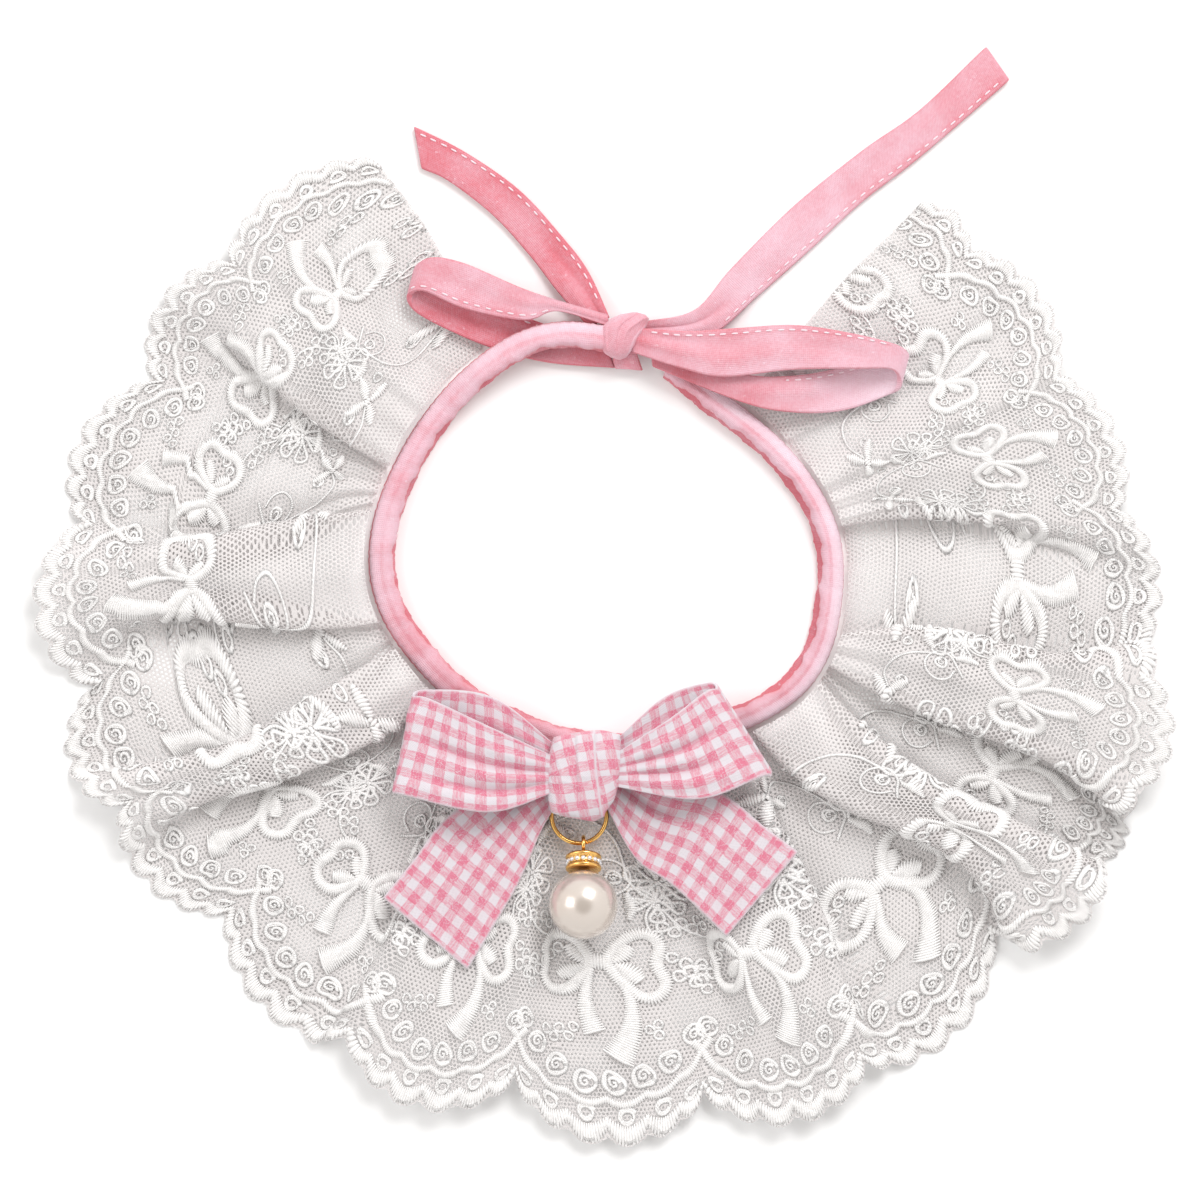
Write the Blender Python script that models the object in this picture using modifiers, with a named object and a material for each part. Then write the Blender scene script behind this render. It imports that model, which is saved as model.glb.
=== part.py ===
"""Lace bib collar for a small pet, laid flat with its ties done up in a bow.

A strip of scalloped lace is gathered on to a folded neckband in deep puffs and laps. The band
runs on into two ties, knotted in a bow at the back. A gingham bow sits at the front, with a
jump ring under its knot and a pearl drop that swings on the ring.

Sizes are in millimetres from the middle of the neck opening, X to the right, Y to the back
and Z up from the surface that the collar lies on. MM turns them into Blender's metres.
"""

import math
from collections import namedtuple

import bmesh
import bpy
import numpy as np
from mathutils import Matrix, Vector

MM = 0.001
SEAM_GAP = 0.3

# The middle of the neck opening, seen from the origin under the middle of the whole collar.
NECK_X = 0.7
NECK_Y = 9.9

# Neckband: a padded fold of bias tape.
BAND_WIDTH = 5.4
BAND_HEIGHT = 4.2
BAND_STEP = 6.0
BAND_START = 96.5
BAND_END = 427.0
BAND_LIFT = 3.2
LOOP_CROSSING = 121.0
LIFT_REACH = 26.0
BAND_WAVE = 0.25
BAND_WAVES = 46

# Neck line: the band's inner radius at each angle, anticlockwise from +X.
NeckRow = namedtuple("NeckRow", "angle radius")
NECK_LINE = [
    NeckRow(0, 42.0),
    NeckRow(10, 40.0),
    NeckRow(20, 37.4),
    NeckRow(30, 35.6),
    NeckRow(45, 33.0),
    NeckRow(60, 33.0),
    NeckRow(75, 36.0),
    NeckRow(92, 38.8),
    NeckRow(107, 41.2),
    NeckRow(120, 40.4),
    NeckRow(135, 39.7),
    NeckRow(150, 39.7),
    NeckRow(165, 40.7),
    NeckRow(180, 42.6),
    NeckRow(195, 42.8),
    NeckRow(210, 40.2),
    NeckRow(225, 39.0),
    NeckRow(240, 37.4),
    NeckRow(270, 37.4),
    NeckRow(290, 38.0),
    NeckRow(305, 40.2),
    NeckRow(318, 43.4),
    NeckRow(330, 45.2),
    NeckRow(345, 43.0),
]

# Lace strip: repeats of one scallop, each a big lobe edged with small bumps.
LACE_WALL = 1.0
REPEAT = 36.5
PANEL_COLUMN = 3.6
FOLD_COLUMNS = (0.1, 0.17, 0.23, 0.29, 0.37, 0.5, 0.63, 0.71, 0.77, 0.83, 0.9, 1.0)
SLOPE_COLUMNS = (0.18, 0.34, 0.5, 0.66, 0.82, 1.0)
HEM_SPLIT = 2.4
HEM_BUMPS = (4, 5, 6, 6, 5, 4)
BUMP_DEPTH = 1.5
LACE_ROWS = (0.0, 0.1, 0.21, 0.33, 0.46, 0.59, 0.72, 0.83, 0.92, 1.0)
LOBE_START = 0.7
NECK_LEAN = 0.25
GATHER_PITCH = 11.0
GATHER_HEIGHT = 0.55
GATHER_REACH = 0.42
TIGHT_GATHER = 2.4
CROWN_WIDTH = 8.0
MEAN_NECK = 46.0
NECK_END_ANGLES = (-237.6, 46.4)

# Scallop valleys along the hem, with the depth of the lobe that follows each.
Valley = namedtuple("Valley", "angle radius depth")
VALLEYS = [
    Valley(-239.2, 89.0, 4.4),
    Valley(-216.9, 94.0, 5.4),
    Valley(-200.0, 96.0, 6.4),
    Valley(-182.5, 104.7, 8.0),
    Valley(-164.6, 106.2, 7.0),
    Valley(-151.7, 109.4, 5.6),
    Valley(-136.0, 105.4, 6.0),
    Valley(-117.4, 110.8, 8.0),
    Valley(-99.8, 107.4, 9.2),
    Valley(-80.0, 110.8, 7.0),
    Valley(-63.5, 115.1, 6.4),
    Valley(-45.8, 109.9, 6.2),
    Valley(-32.7, 116.5, 3.0),
    Valley(-26.2, 113.4, 7.6),
    Valley(-11.8, 106.8, 5.2),
    Valley(4.0, 102.0, 4.4),
    Valley(20.8, 95.8, 4.8),
    Valley(39.0, 93.2, 4.0),
    Valley(47.5, 92.2, 0.0),
]
LAST_REPEAT_SHARE = 0.4

# Panels of the gathered strip from the left end to the right, with each one's height over
# its resting height at the neck, half way out and at the hem. A crown rounds its middle.
Panel = namedtuple("Panel", "name neck middle hem crown")
PANELS = [
    Panel("left_end", 0.0, 0.0, 0.0, 0.0),
    Panel("a", 2.9, 5.0, 2.4, 0.5),
    Panel("b", 0.0, 0.0, 0.0, 0.5),
    Panel("c", 2.9, 6.2, 4.4, 1.2),
    Panel("d", 0.0, 0.0, 0.0, 0.0),
    Panel("e", 2.9, 6.6, 5.4, 0.9),
    Panel("g", 0.0, 0.0, 0.0, 0.7),
    Panel("h", 0.0, 3.4, 4.2, 0.4),
    Panel("i", 0.0, 0.0, 2.6, 0.3),
    Panel("j", 0.0, 4.8, 4.2, 0.3),
    Panel("k", 0.0, 0.0, 0.0, 0.5),
    Panel("m", 2.9, 7.4, 6.4, 1.6),
    Panel("n", 0.0, 0.0, 0.0, 0.0),
    Panel("o", 2.9, 6.2, 7.0, 1.0),
    Panel("p", 0.0, 0.0, 0.0, 0.6),
    Panel("q", 2.9, 4.4, 1.4, 0.4),
    Panel("right_end", 0.0, 0.0, 0.0, 0.3),
]

# Folds between neighbouring panels: the angle of the fold's visible edge at four stations
# from neck to hem, how far its upper panel laps over there, and the cloth that it takes up.
Fold = namedtuple("Fold", "edge lap span")
FOLDS = [
    Fold((-221.0, -221.0, -222.0, -224.0), (-9, -12, -14, -18), 20),
    Fold((-200.2, -202.8, -206.8, -209.5), (3.5, 7.0, 3.5, -8), 22),
    Fold((-188.5, -184.2, -180.5, -179.5), (3.5, 7.0, 4.0, -6), 18),
    Fold((-160.8, -165.5, -170.6, -169.7), (3.5, 7.0, 4.5, -6), 18),
    Fold((-153.8, -152.6, -152.2, -155.0), (3.0, 4.5, 4.0, -2), 12),
    Fold((-137.4, -141.0, -145.9, -149.0), (1.4, 4.2, 3.5, -3), 12),
    Fold((-122.0, -120.5, -119.2, -118.2), (-6, -2.0, 3.0, 1.5), 14),
    Fold((-101.0, -100.5, -99.5, -99.5), (-6, -6, -5, -3), 12),
    Fold((-76.0, -75.0, -74.0, -74.0), (-6, -7, -8, -8), 14),
    Fold((-58.0, -58.5, -60.4, -63.0), (-1.0, 5.0, 4.0, -2), 16),
    Fold((-51.8, -48.2, -42.2, -43.0), (1.2, 5.8, 5.0, 0.6), 14),
    Fold((-33.0, -35.8, -34.6, -34.5), (3.0, 5.0, 4.5, 2.5), 16),
    Fold((-28.2, -28.3, -26.3, -25.7), (1.5, 3.0, 3.5, 2.6), 17),
    Fold((-20.5, -14.0, -14.0, -12.4), (2.0, 3.5, 3.0, 2.0), 12),
    Fold((4.6, 4.6, 2.0, 0.0), (2.0, 3.4, -2.0, -10), 14),
    Fold((22.0, 23.0, 24.0, 24.0), (-8, -12, -16, -26), 26),
]
EDGE_SHARE = 0.27
NECK_RUN_SHARE = 0.1
OPEN_RUN_SHARE = 0.45
# The tightest turn that a fold's middle surface may make, just over half the wall.
TIGHTEST_TURN = 0.74
WIDEST_OVERHANG = 6.0

# Cloth strips. Each row gives both edges of a strip and its height over the surface.
StripRow = namedtuple("StripRow", "ax ay bx by z")
TIE_WALL = 1.5
RIBBON_WALL = 1.0
RIBBON_PLEATS = 0.4

TIE_TAIL_LEFT = [
    StripRow(-0.4, 47.2, -4.8, 45.3, 3.3),
    StripRow(-3.8, 55.0, -10.0, 50.8, 1.6),
    StripRow(-9.6, 62.6, -15.2, 57.6, 0.9),
    StripRow(-17.8, 71.4, -22.6, 65.8, 0.9),
    StripRow(-28.8, 79.0, -31.6, 72.8, 0.9),
    StripRow(-38.8, 84.0, -37.2, 75.4, 0.9),
]
TIE_TAIL_RIGHT = [
    StripRow(8.8, 44.4, 9.5, 40.4, 3.4),
    StripRow(17.4, 47.0, 20.6, 42.0, 2.6),
    StripRow(24.8, 55.4, 30.4, 50.0, 0.9),
    StripRow(37.2, 67.8, 40.6, 59.0, 0.9),
    StripRow(51.0, 79.0, 51.0, 68.6, 0.9),
    StripRow(62.6, 87.2, 62.6, 77.6, 0.9),
    StripRow(76.0, 100.0, 80.8, 93.2, 0.9),
]
TIE_LOOP_LEFT = [
    StripRow(-2.1, 47.2, -1.9, 45.0, 5.6),
    StripRow(-10.4, 49.0, -9.8, 46.6, 5.8),
    StripRow(-17.8, 51.6, -16.4, 44.8, 5.9),
    StripRow(-28.4, 56.2, -28.2, 47.0, 5.9),
    StripRow(-35.0, 57.4, -36.6, 50.6, 5.7),
    StripRow(-38.0, 55.2, -39.6, 49.2, 3.9),
    StripRow(-35.2, 53.6, -37.2, 45.8, 2.4),
    StripRow(-26.0, 49.2, -24.8, 40.0, 2.2),
    StripRow(-14.4, 45.0, -12.4, 36.6, 1.5),
    StripRow(-2.8, 38.8, -1.7, 34.6, 1.5),
]
TIE_LOOP_RIGHT = [
    StripRow(9.4, 43.4, 9.5, 39.6, 6.6),
    StripRow(16.0, 42.6, 15.2, 35.0, 8.0),
    StripRow(26.0, 43.2, 23.4, 33.4, 8.4),
    StripRow(37.2, 43.8, 36.8, 34.8, 8.2),
    StripRow(47.6, 42.4, 50.0, 35.0, 7.8),
    StripRow(57.6, 40.0, 57.0, 34.8, 6.8),
    StripRow(59.8, 38.0, 58.2, 31.4, 4.8),
    StripRow(56.0, 38.6, 55.4, 29.6, 3.0),
    StripRow(47.0, 35.6, 47.0, 26.8, 3.2),
    StripRow(37.2, 33.8, 37.2, 26.4, 5.4),
    StripRow(26.4, 34.2, 27.0, 28.4, 6.0),
    StripRow(13.2, 36.4, 13.2, 33.2, 6.0),
]
BOW_LOOP_LEFT = [
    StripRow(-12.4, -38.8, -12.6, -48.6, 6.6),
    StripRow(-22.6, -30.4, -21.4, -52.8, 6.9),
    StripRow(-36.0, -28.8, -40.2, -48.6, 6.9),
    StripRow(-38.4, -30.0, -42.2, -49.4, 8.9),
    StripRow(-35.2, -30.6, -40.4, -49.8, 10.9),
    StripRow(-24.0, -35.8, -23.4, -53.2, 11.3),
    StripRow(-12.4, -42.0, -12.6, -49.4, 9.8),
]
BOW_LOOP_RIGHT = [
    StripRow(4.0, -38.0, 4.2, -47.8, 6.6),
    StripRow(11.2, -30.4, 15.0, -50.0, 6.9),
    StripRow(20.2, -27.4, 30.6, -45.0, 6.9),
    StripRow(21.6, -28.6, 32.6, -46.2, 8.9),
    StripRow(19.4, -29.2, 30.6, -46.2, 10.9),
    StripRow(12.6, -34.4, 18.0, -50.6, 11.3),
    StripRow(4.0, -41.4, 4.2, -48.6, 9.8),
]
BOW_TAIL_LEFT = [
    StripRow(-12.3, -43.2, -11.9, -51.8, 4.6),
    StripRow(-20.2, -46.4, -13.0, -57.0, 4.4),
    StripRow(-32.2, -54.6, -17.4, -67.2, 4.8),
    StripRow(-38.6, -62.8, -22.6, -76.2, 5.8),
    StripRow(-44.8, -70.4, -27.8, -84.8, 6.0),
]
BOW_TAIL_RIGHT = [
    StripRow(4.4, -46.4, 1.4, -54.8, 3.6),
    StripRow(12.0, -47.8, 5.6, -62.6, 4.2),
    StripRow(22.6, -49.4, 12.6, -67.6, 5.4),
    StripRow(31.0, -55.8, 19.0, -73.4, 6.6),
    StripRow(38.2, -61.2, 23.8, -78.2, 7.0),
]

# Knots: a rounded block with grooves where the cloth is wrapped round.
Knot = namedtuple("Knot", "x y bottom width length height turn grooves groove_depth")
BACK_KNOT = Knot(3.8, 40.7, 0.0, 10.4, 11.4, 9.0, 8.0, 3, 0.5)
BOW_KNOT = Knot(-4.2, -45.8, 4.3, 15.6, 18.2, 8.4, 4.0, 4, 0.6)

# Hardware and the pearl drop. The hinge is the ring's wire where the eye hangs on it.
RING_X = -5.6
RING_Y = -54.1
RING_RADIUS = 5.5
RING_WIRE = 0.9
RING_HEIGHT = 3.5
EYE_RADIUS = 1.55
EYE_WIRE = 0.8
CAP_DIAMETER = 7.2
CAP_THICKNESS = 3.2
PEARL_DIAMETER = 13.8
PEARL_REST = 8.4


def clear_scene():
    for obj in list(bpy.data.objects):
        bpy.data.objects.remove(obj, do_unlink=True)


def make_collection(name):
    collection = bpy.data.collections.new(name)
    bpy.context.scene.collection.children.link(collection)
    return collection


def make_material(name, colour, roughness, metallic):
    material = bpy.data.materials.new(name)
    material.use_nodes = True
    shader = material.node_tree.nodes["Principled BSDF"]
    shader.inputs["Base Color"].default_value = (*colour, 1.0)
    shader.inputs["Roughness"].default_value = roughness
    shader.inputs["Metallic"].default_value = metallic
    return material


def to_world(x, y, z):
    return Vector(((x + NECK_X) * MM, (y + NECK_Y) * MM, z * MM))


def add_object(name, data, collection, material):
    obj = bpy.data.objects.new(name, data)
    data.materials.append(material)
    collection.objects.link(obj)
    return obj


def shade_smooth(mesh):
    mesh.shade_smooth()
    mesh.set_sharp_from_angle(angle=math.radians(50))


def neck_radius(angle):
    """The neckband's inner radius at an angle in degrees, smooth all the way round."""
    angles = np.array([row.angle for row in NECK_LINE], float)
    radii = np.array([row.radius for row in NECK_LINE], float)
    turns = np.concatenate([angles - 360.0, angles, angles + 360.0])
    values = np.tile(radii, 3)
    spread = np.arange(-9.0, 9.1, 3.0)
    samples = [np.interp(np.mod(angle, 360.0) + shift, turns, values) for shift in spread]
    return np.mean(samples, axis=0)


def neckband_path():
    """The band's middle line, anticlockwise from the back knot's left side to its right."""
    points = []
    count = round((BAND_END - BAND_START) / BAND_STEP)
    for angle in np.linspace(BAND_START, BAND_END, count + 1):
        wave = BAND_WAVE * math.sin(math.radians(angle * BAND_WAVES))
        radius = float(neck_radius(angle)) + BAND_WIDTH / 2 + wave
        past_loop = min(1.0, max(0.0, angle - LOOP_CROSSING) / LIFT_REACH)
        over_loop = 0.5 + 0.5 * math.cos(math.pi * past_loop)
        turn = math.radians(angle)
        height = BAND_HEIGHT / 2 + BAND_LIFT * over_loop
        points.append(to_world(radius * math.cos(turn), radius * math.sin(turn), height))
    return points


def band_profile(collection):
    """The band's section: round over the top and flat underneath."""
    side = BAND_WIDTH / 2
    low = -BAND_HEIGHT / 2
    outline = [(-side, low + 0.8), (-side, low + 2.2)]
    for turn in (135, 90, 45):
        angle = math.radians(turn)
        outline.append((side * math.cos(angle), low + 2.2 + 2.0 * math.sin(angle)))
    outline += [(side, low + 2.2), (side, low + 0.8), (side - 0.6, low), (-side + 0.6, low)]
    curve = bpy.data.curves.new("band_profile", "CURVE")
    spline = curve.splines.new("POLY")
    spline.points.add(len(outline) - 1)
    for point, (x, y) in zip(spline.points, outline):
        point.co = (x * MM, y * MM, 0.0, 1.0)
    spline.use_cyclic_u = True
    guide = bpy.data.objects.new("band_profile", curve)
    guide.hide_render = True
    guide.display_type = "WIRE"
    collection.objects.link(guide)
    return guide


def make_neckband(parts, guides, material):
    curve = bpy.data.curves.new("neckband", "CURVE")
    curve.dimensions = "3D"
    curve.twist_mode = "Z_UP"
    curve.bevel_mode = "OBJECT"
    curve.bevel_object = band_profile(guides)
    curve.use_fill_caps = True
    path = neckband_path()
    spline = curve.splines.new("POLY")
    spline.points.add(len(path) - 1)
    for point, place in zip(spline.points, path):
        point.co = (*place, 1.0)
    return add_object("neckband", curve, parts, material)


def at_stations(values, v):
    """A value that is set at evenly spaced stations, read on the curve through them all."""
    places = np.linspace(0.0, 1.0, len(values))
    total = np.zeros_like(np.asarray(v, float))
    for i, value in enumerate(values):
        weight = np.ones_like(total)
        for j, other in enumerate(places):
            if j != i:
                weight = weight * (v - other) / (places[i] - other)
        total = total + value * weight
    return total


def strip_places():
    """How far along the flat strip each scallop valley lies."""
    places = [REPEAT * i for i in range(len(VALLEYS))]
    places[-1] = places[-2] + REPEAT * LAST_REPEAT_SHARE
    return np.array(places)


def hem_angle(u):
    return np.interp(u, strip_places(), [row.angle for row in VALLEYS])


def strip_place_at(angle):
    return float(np.interp(angle, [row.angle for row in VALLEYS], strip_places()))


def hem_radius(u):
    return np.interp(u, strip_places(), [row.radius for row in VALLEYS])


def hem_lobe(u):
    """How far the scalloped edge stands out past the line of its valleys."""
    index = np.clip((u / REPEAT + 1e-6).astype(int), 0, len(VALLEYS) - 2)
    share = np.clip(u / REPEAT - index, 0.0, 1.0)
    depth = np.array([row.depth for row in VALLEYS])[index]
    arch = (1.0 - np.abs(2.0 * share - 1.0) ** 2.2) ** 0.8
    edges = np.concatenate([[0], np.cumsum(HEM_BUMPS)]) / sum(HEM_BUMPS)
    bump = np.clip(np.searchsorted(edges, share + 1e-6) - 1, 0, len(HEM_BUMPS) - 1)
    width = np.diff(edges)[bump]
    inside = np.clip((share - edges[bump]) / width, 0.0, 1.0)
    size = BUMP_DEPTH * (width / width.max()) * np.clip(hem_radius(u) / 105.0, 0.8, 1.0)
    return depth * arch + size * np.sin(math.pi * inside) ** 0.8


def fold_fall(share, closed):
    """How much of its height a fold has lost: in two steps if it laps over, else in one."""
    steps = np.sin(4.0 * math.pi * share) / (4.0 * math.pi)
    slope = np.sin(2.0 * math.pi * share) / (2.0 * math.pi)
    return share - closed * steps - (1.0 - closed) * slope


def fold_steps(run, fall, overhang):
    """Steps in x and z along a fold's section, at even shares of its cloth."""
    share = np.linspace(0.0, 1.0, 121)
    x = run * share + overhang * np.sin(2.0 * math.pi * share)
    z = fall * fold_fall(share, min(1.0, overhang / 2.0))
    return np.gradient(x), np.gradient(z)


def open_overhang(wanted, run, fall):
    """The overhang nearest to the wanted one whose turns stay wide enough for the wall."""
    best = (0.0, 0.0)
    choices = sorted(np.linspace(0.0, WIDEST_OVERHANG, 61), key=lambda value: abs(value - wanted))
    for overhang in choices:
        dx, dz = fold_steps(run, fall, overhang)
        bend = np.abs(dx * np.gradient(dz) - dz * np.gradient(dx))[2:-2]
        turn = float(np.min(np.hypot(dx, dz)[2:-2] ** 3 / np.maximum(bend, 1e-12)))
        if turn >= TIGHTEST_TURN:
            return float(overhang)
        best = max(best, (turn, float(overhang)))
    return best[1]


def hem_share(v):
    """How far row v has taken on the even spread that the strip has along its hem."""
    return min(1.0, max(0.0, (v - 0.55) / 0.45)) ** 2


def fold_layout(v, heights):
    """Where each fold starts and ends at row v: strip places, angles, overhangs, sides."""
    layout = []
    for index, fold in enumerate(FOLDS):
        fall = heights[index] - heights[index + 1]
        side = 1.0 if PANELS[index].middle > PANELS[index + 1].middle else -1.0
        edge = float(at_stations(fold.edge, v))
        lap = float(at_stations(fold.lap, v))
        inner = float(neck_radius(edge)) + BAND_WIDTH
        outer = float(hem_radius(strip_place_at(fold.edge[-1])))
        radius = inner + (outer - inner) * v
        place = strip_place_at(fold.edge[-1])
        before_edge = EDGE_SHARE if side > 0 else 1.0 - EDGE_SHARE
        hem_start = float(hem_angle(place - fold.span * before_edge))
        hem_end = float(hem_angle(place + fold.span * (1.0 - before_edge)))
        share = NECK_RUN_SHARE if fold.lap[1] > 0 else OPEN_RUN_SHARE
        neck_run = math.degrees(share * fold.span / radius)
        hem_run = hem_end - hem_start
        run = neck_run + (hem_run - neck_run) * v**2.5
        run_length = math.radians(run) * radius
        overhang = 0.0
        if lap > 0.0:
            overhang = open_overhang(lap / 2.0 + run_length / 4.0, run_length, abs(fall))
        reach = max(0.0, overhang - run_length / 4.0)
        centre = edge - side * math.degrees(reach / radius)
        cloth = fold.span
        if fold.lap[1] > 0:
            curled = float(np.sum(np.hypot(*fold_steps(run_length, fall, overhang))))
            cloth = curled + (fold.span - curled) * hem_share(v)
        left = centre - run / 2.0
        right = centre + run / 2.0
        if v == 1.0:
            left, right = hem_start, hem_end
        start = place - cloth * before_edge
        end = place + cloth * (1.0 - before_edge)
        layout.append((start, end, left, right, math.degrees(overhang / radius), overhang))
    return layout


def panel_heights(v):
    return [max(0.0, float(at_stations((p.neck, p.middle, p.hem), v))) for p in PANELS]


def strip_columns(v):
    """Strip places of the grid's columns in row v, close together round each fold's turns."""
    layout = fold_layout(v, panel_heights(v))
    hem = fold_layout(1.0, panel_heights(1.0))
    places = [0.0]
    before = 0.0
    for index, fold in enumerate(FOLDS):
        start, end = layout[index][:2]
        steps = max(1, round((hem[index][0] - before) / PANEL_COLUMN))
        places += list(np.linspace(places[-1], start, steps + 1)[1:])
        shares = FOLD_COLUMNS if fold.lap[1] > 0 else SLOPE_COLUMNS
        places += [start + (end - start) * share for share in shares]
        before = hem[index][1]
    length = strip_places()[-1]
    steps = max(1, round((length - before) / PANEL_COLUMN))
    places += list(np.linspace(places[-1], length, steps + 1)[1:])
    return np.array(places)


def lace_points(u, v):
    """Points of the lace's middle surface at strip places u in row v, in millimetres."""
    heights = panel_heights(v)
    layout = fold_layout(v, heights)
    length = strip_places()[-1]
    places = [0.0]
    angles = [float(at_stations((NECK_END_ANGLES[0], -240.3, VALLEYS[0].angle), v))]
    for start, end, left, right, _, _ in layout:
        places += [start, end]
        angles += [left, right]
    places.append(length)
    angles.append(float(at_stations((NECK_END_ANGLES[1], 48.2, VALLEYS[-1].angle), v)))
    angle = np.interp(u, places, angles)
    angle = angle + (hem_angle(u) - angle) * hem_share(v)
    height = np.zeros_like(u)
    gather = np.zeros_like(u)
    for index, panel in enumerate(PANELS):
        start = 0.0 if index == 0 else layout[index - 1][1]
        end = length if index == len(FOLDS) else layout[index][0]
        inside = (u >= start) & (u <= end)
        share = np.clip((u - start) / max(end - start, 1e-6), 0.0, 1.0)
        rise = np.sin(math.pi * share) ** 2
        crown = panel.crown * math.sin(math.pi * min(1.0, 0.12 + v * 0.88)) ** 0.5
        spread = math.radians(np.interp(end, places, angles) - np.interp(start, places, angles))
        crown *= min(1.0, spread * MEAN_NECK / CROWN_WIDTH)
        height = np.where(inside, heights[index] + crown * rise, height)
        pitch = GATHER_PITCH * spread * MEAN_NECK / max(end - start, 1e-6)
        room = min(1.0, max(0.0, (pitch - TIGHT_GATHER) / TIGHT_GATHER))
        gather = np.where(inside, room * np.clip(4.0 * share * (1.0 - share), 0.0, 1.0), gather)
    for index, (start, end, _, _, overhang_angle, overhang) in enumerate(layout):
        inside = (u > start) & (u < end)
        share = np.clip((u - start) / (end - start), 0.0, 1.0)
        closed = min(1.0, overhang / 2.0)
        drop = heights[index + 1] - heights[index]
        drop = heights[index] + drop * fold_fall(share, closed)
        height = np.where(inside, drop, height)
        angle = angle + np.where(inside, overhang_angle * np.sin(2.0 * math.pi * share), 0.0)
    ripple = 0.5 - 0.5 * np.cos(2.0 * math.pi * u / GATHER_PITCH)
    fade = max(0.0, 1.0 - v / GATHER_REACH)
    height = height + GATHER_HEIGHT * fade * ripple * gather
    inner = neck_radius(angle) + BAND_WIDTH + BAND_WAVE + SEAM_GAP + NECK_LEAN
    radius = inner + (hem_radius(u) - inner) * v
    radius = radius + hem_lobe(u) * max(0.0, (v - LOBE_START) / (1.0 - LOBE_START)) ** 1.5
    turn = np.radians(angle)
    return np.stack([radius * np.cos(turn), radius * np.sin(turn), height + LACE_WALL / 2.0], axis=-1)


def make_lace(parts, material):
    """The ruffle: a grid laid over the gathered strip, with twice the points on its hem."""
    rows = [lace_points(strip_columns(v), v) for v in LACE_ROWS]
    columns = len(rows[0]) - 1
    hem_columns = strip_columns(LACE_ROWS[-1])
    hem = lace_points((hem_columns[:-1] + hem_columns[1:]) / 2.0, LACE_ROWS[-1])
    mesh = bpy.data.meshes.new("lace_ruffle")
    shell = bmesh.new()
    bmesh.ops.create_grid(shell, x_segments=columns, y_segments=len(rows) - 1, size=0.5)
    shell.verts.ensure_lookup_table()
    for row, points in enumerate(rows):
        for column, point in enumerate(points):
            shell.verts[row * (columns + 1) + column].co = to_world(*point)
    last = (len(rows) - 1) * (columns + 1)
    for column, point in enumerate(hem):
        if hem_columns[column + 1] - hem_columns[column] < HEM_SPLIT:
            continue
        ends = (shell.verts[last + column], shell.verts[last + column + 1])
        edge = shell.edges.get(ends)
        _, middle = bmesh.utils.edge_split(edge, ends[0], 0.5)
        middle.co = to_world(*point)
        shell.verts.ensure_lookup_table()
    bmesh.ops.recalc_face_normals(shell, faces=shell.faces)
    bmesh.ops.triangulate(shell, faces=shell.faces, ngon_method="BEAUTY")
    shell.to_mesh(mesh)
    shell.free()
    shade_smooth(mesh)
    obj = add_object("lace_ruffle", mesh, parts, material)
    add_wall(obj, LACE_WALL)
    return obj


def add_wall(obj, thickness):
    wall = obj.modifiers.new("wall", "SOLIDIFY")
    wall.thickness = thickness * MM
    wall.offset = 0.0
    wall.use_even_offset = False


def smooth_rows(rows, per_row):
    """Rows of numbers read on a smooth curve through them, with per_row steps between two."""
    table = np.array(rows, float)
    padded = np.vstack([2 * table[0] - table[1], table, 2 * table[-1] - table[-2]])
    result = []
    for index in range(len(table) - 1):
        before, start, end, after = padded[index : index + 4]
        for step in range(per_row):
            t = step / per_row
            result.append(
                start
                + 0.5 * t * (end - before)
                + t * t * (before - 2.5 * start + 2.0 * end - 0.5 * after)
                + t * t * t * (1.5 * (start - end) + 0.5 * (after - before))
            )
    result.append(table[-1])
    return np.array(result)


def make_strip(name, rows, wall, pleats, parts, material):
    """A cloth strip through its rows, with pleats that fan out from both of its ends."""
    lines = smooth_rows(rows, 2)
    across = 6 if pleats else 4
    mesh = bpy.data.meshes.new(name)
    shell = bmesh.new()
    bmesh.ops.create_grid(shell, x_segments=across, y_segments=len(lines) - 1, size=0.5)
    shell.verts.ensure_lookup_table()
    for row, (ax, ay, bx, by, z) in enumerate(lines):
        ends = min(row, len(lines) - 1 - row) / (len(lines) - 1)
        pleat = pleats * max(0.0, 1.0 - 3.2 * ends)
        for column in range(across + 1):
            share = column / across
            lift = pleat * math.sin(math.pi * 3 * share) ** 2
            place = to_world(ax + (bx - ax) * share, ay + (by - ay) * share, z + lift)
            shell.verts[row * (across + 1) + column].co = place
    bmesh.ops.recalc_face_normals(shell, faces=shell.faces)
    shell.to_mesh(mesh)
    shell.free()
    shade_smooth(mesh)
    obj = add_object(name, mesh, parts, material)
    add_wall(obj, wall)
    return obj


def make_knot(name, knot, parts, material):
    """A knot: a rounded block, flat underneath, grooved along the wrapped cloth."""
    mesh = bpy.data.meshes.new(name)
    shell = bmesh.new()
    bmesh.ops.create_uvsphere(shell, u_segments=24, v_segments=12, radius=1.0)
    turn = math.radians(knot.turn)
    for vert in shell.verts:
        x, y, z = vert.co
        flat = max(abs(x), abs(y), 1e-6) / max(math.hypot(x, y), 1e-6)
        square = 1.0 / flat
        x *= square**0.75
        y *= square**0.75
        groove = knot.groove_depth * 0.5 * (1.0 - math.cos(2.0 * math.pi * knot.grooves * x * 0.5))
        z = math.copysign(abs(z) ** 0.7, z)
        height = (knot.height - groove) * (0.5 + 0.5 * z) if z > 0 else knot.height * (0.5 + 0.5 * z)
        height = max(0.0, height - 0.08 * knot.height) * knot.height / (0.92 * knot.height)
        px = x * knot.width / 2.0
        py = y * knot.length / 2.0
        vert.co = to_world(
            knot.x + px * math.cos(turn) - py * math.sin(turn),
            knot.y + px * math.sin(turn) + py * math.cos(turn),
            knot.bottom + height,
        )
    shell.to_mesh(mesh)
    shell.free()
    shade_smooth(mesh)
    return add_object(name, mesh, parts, material)


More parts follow.
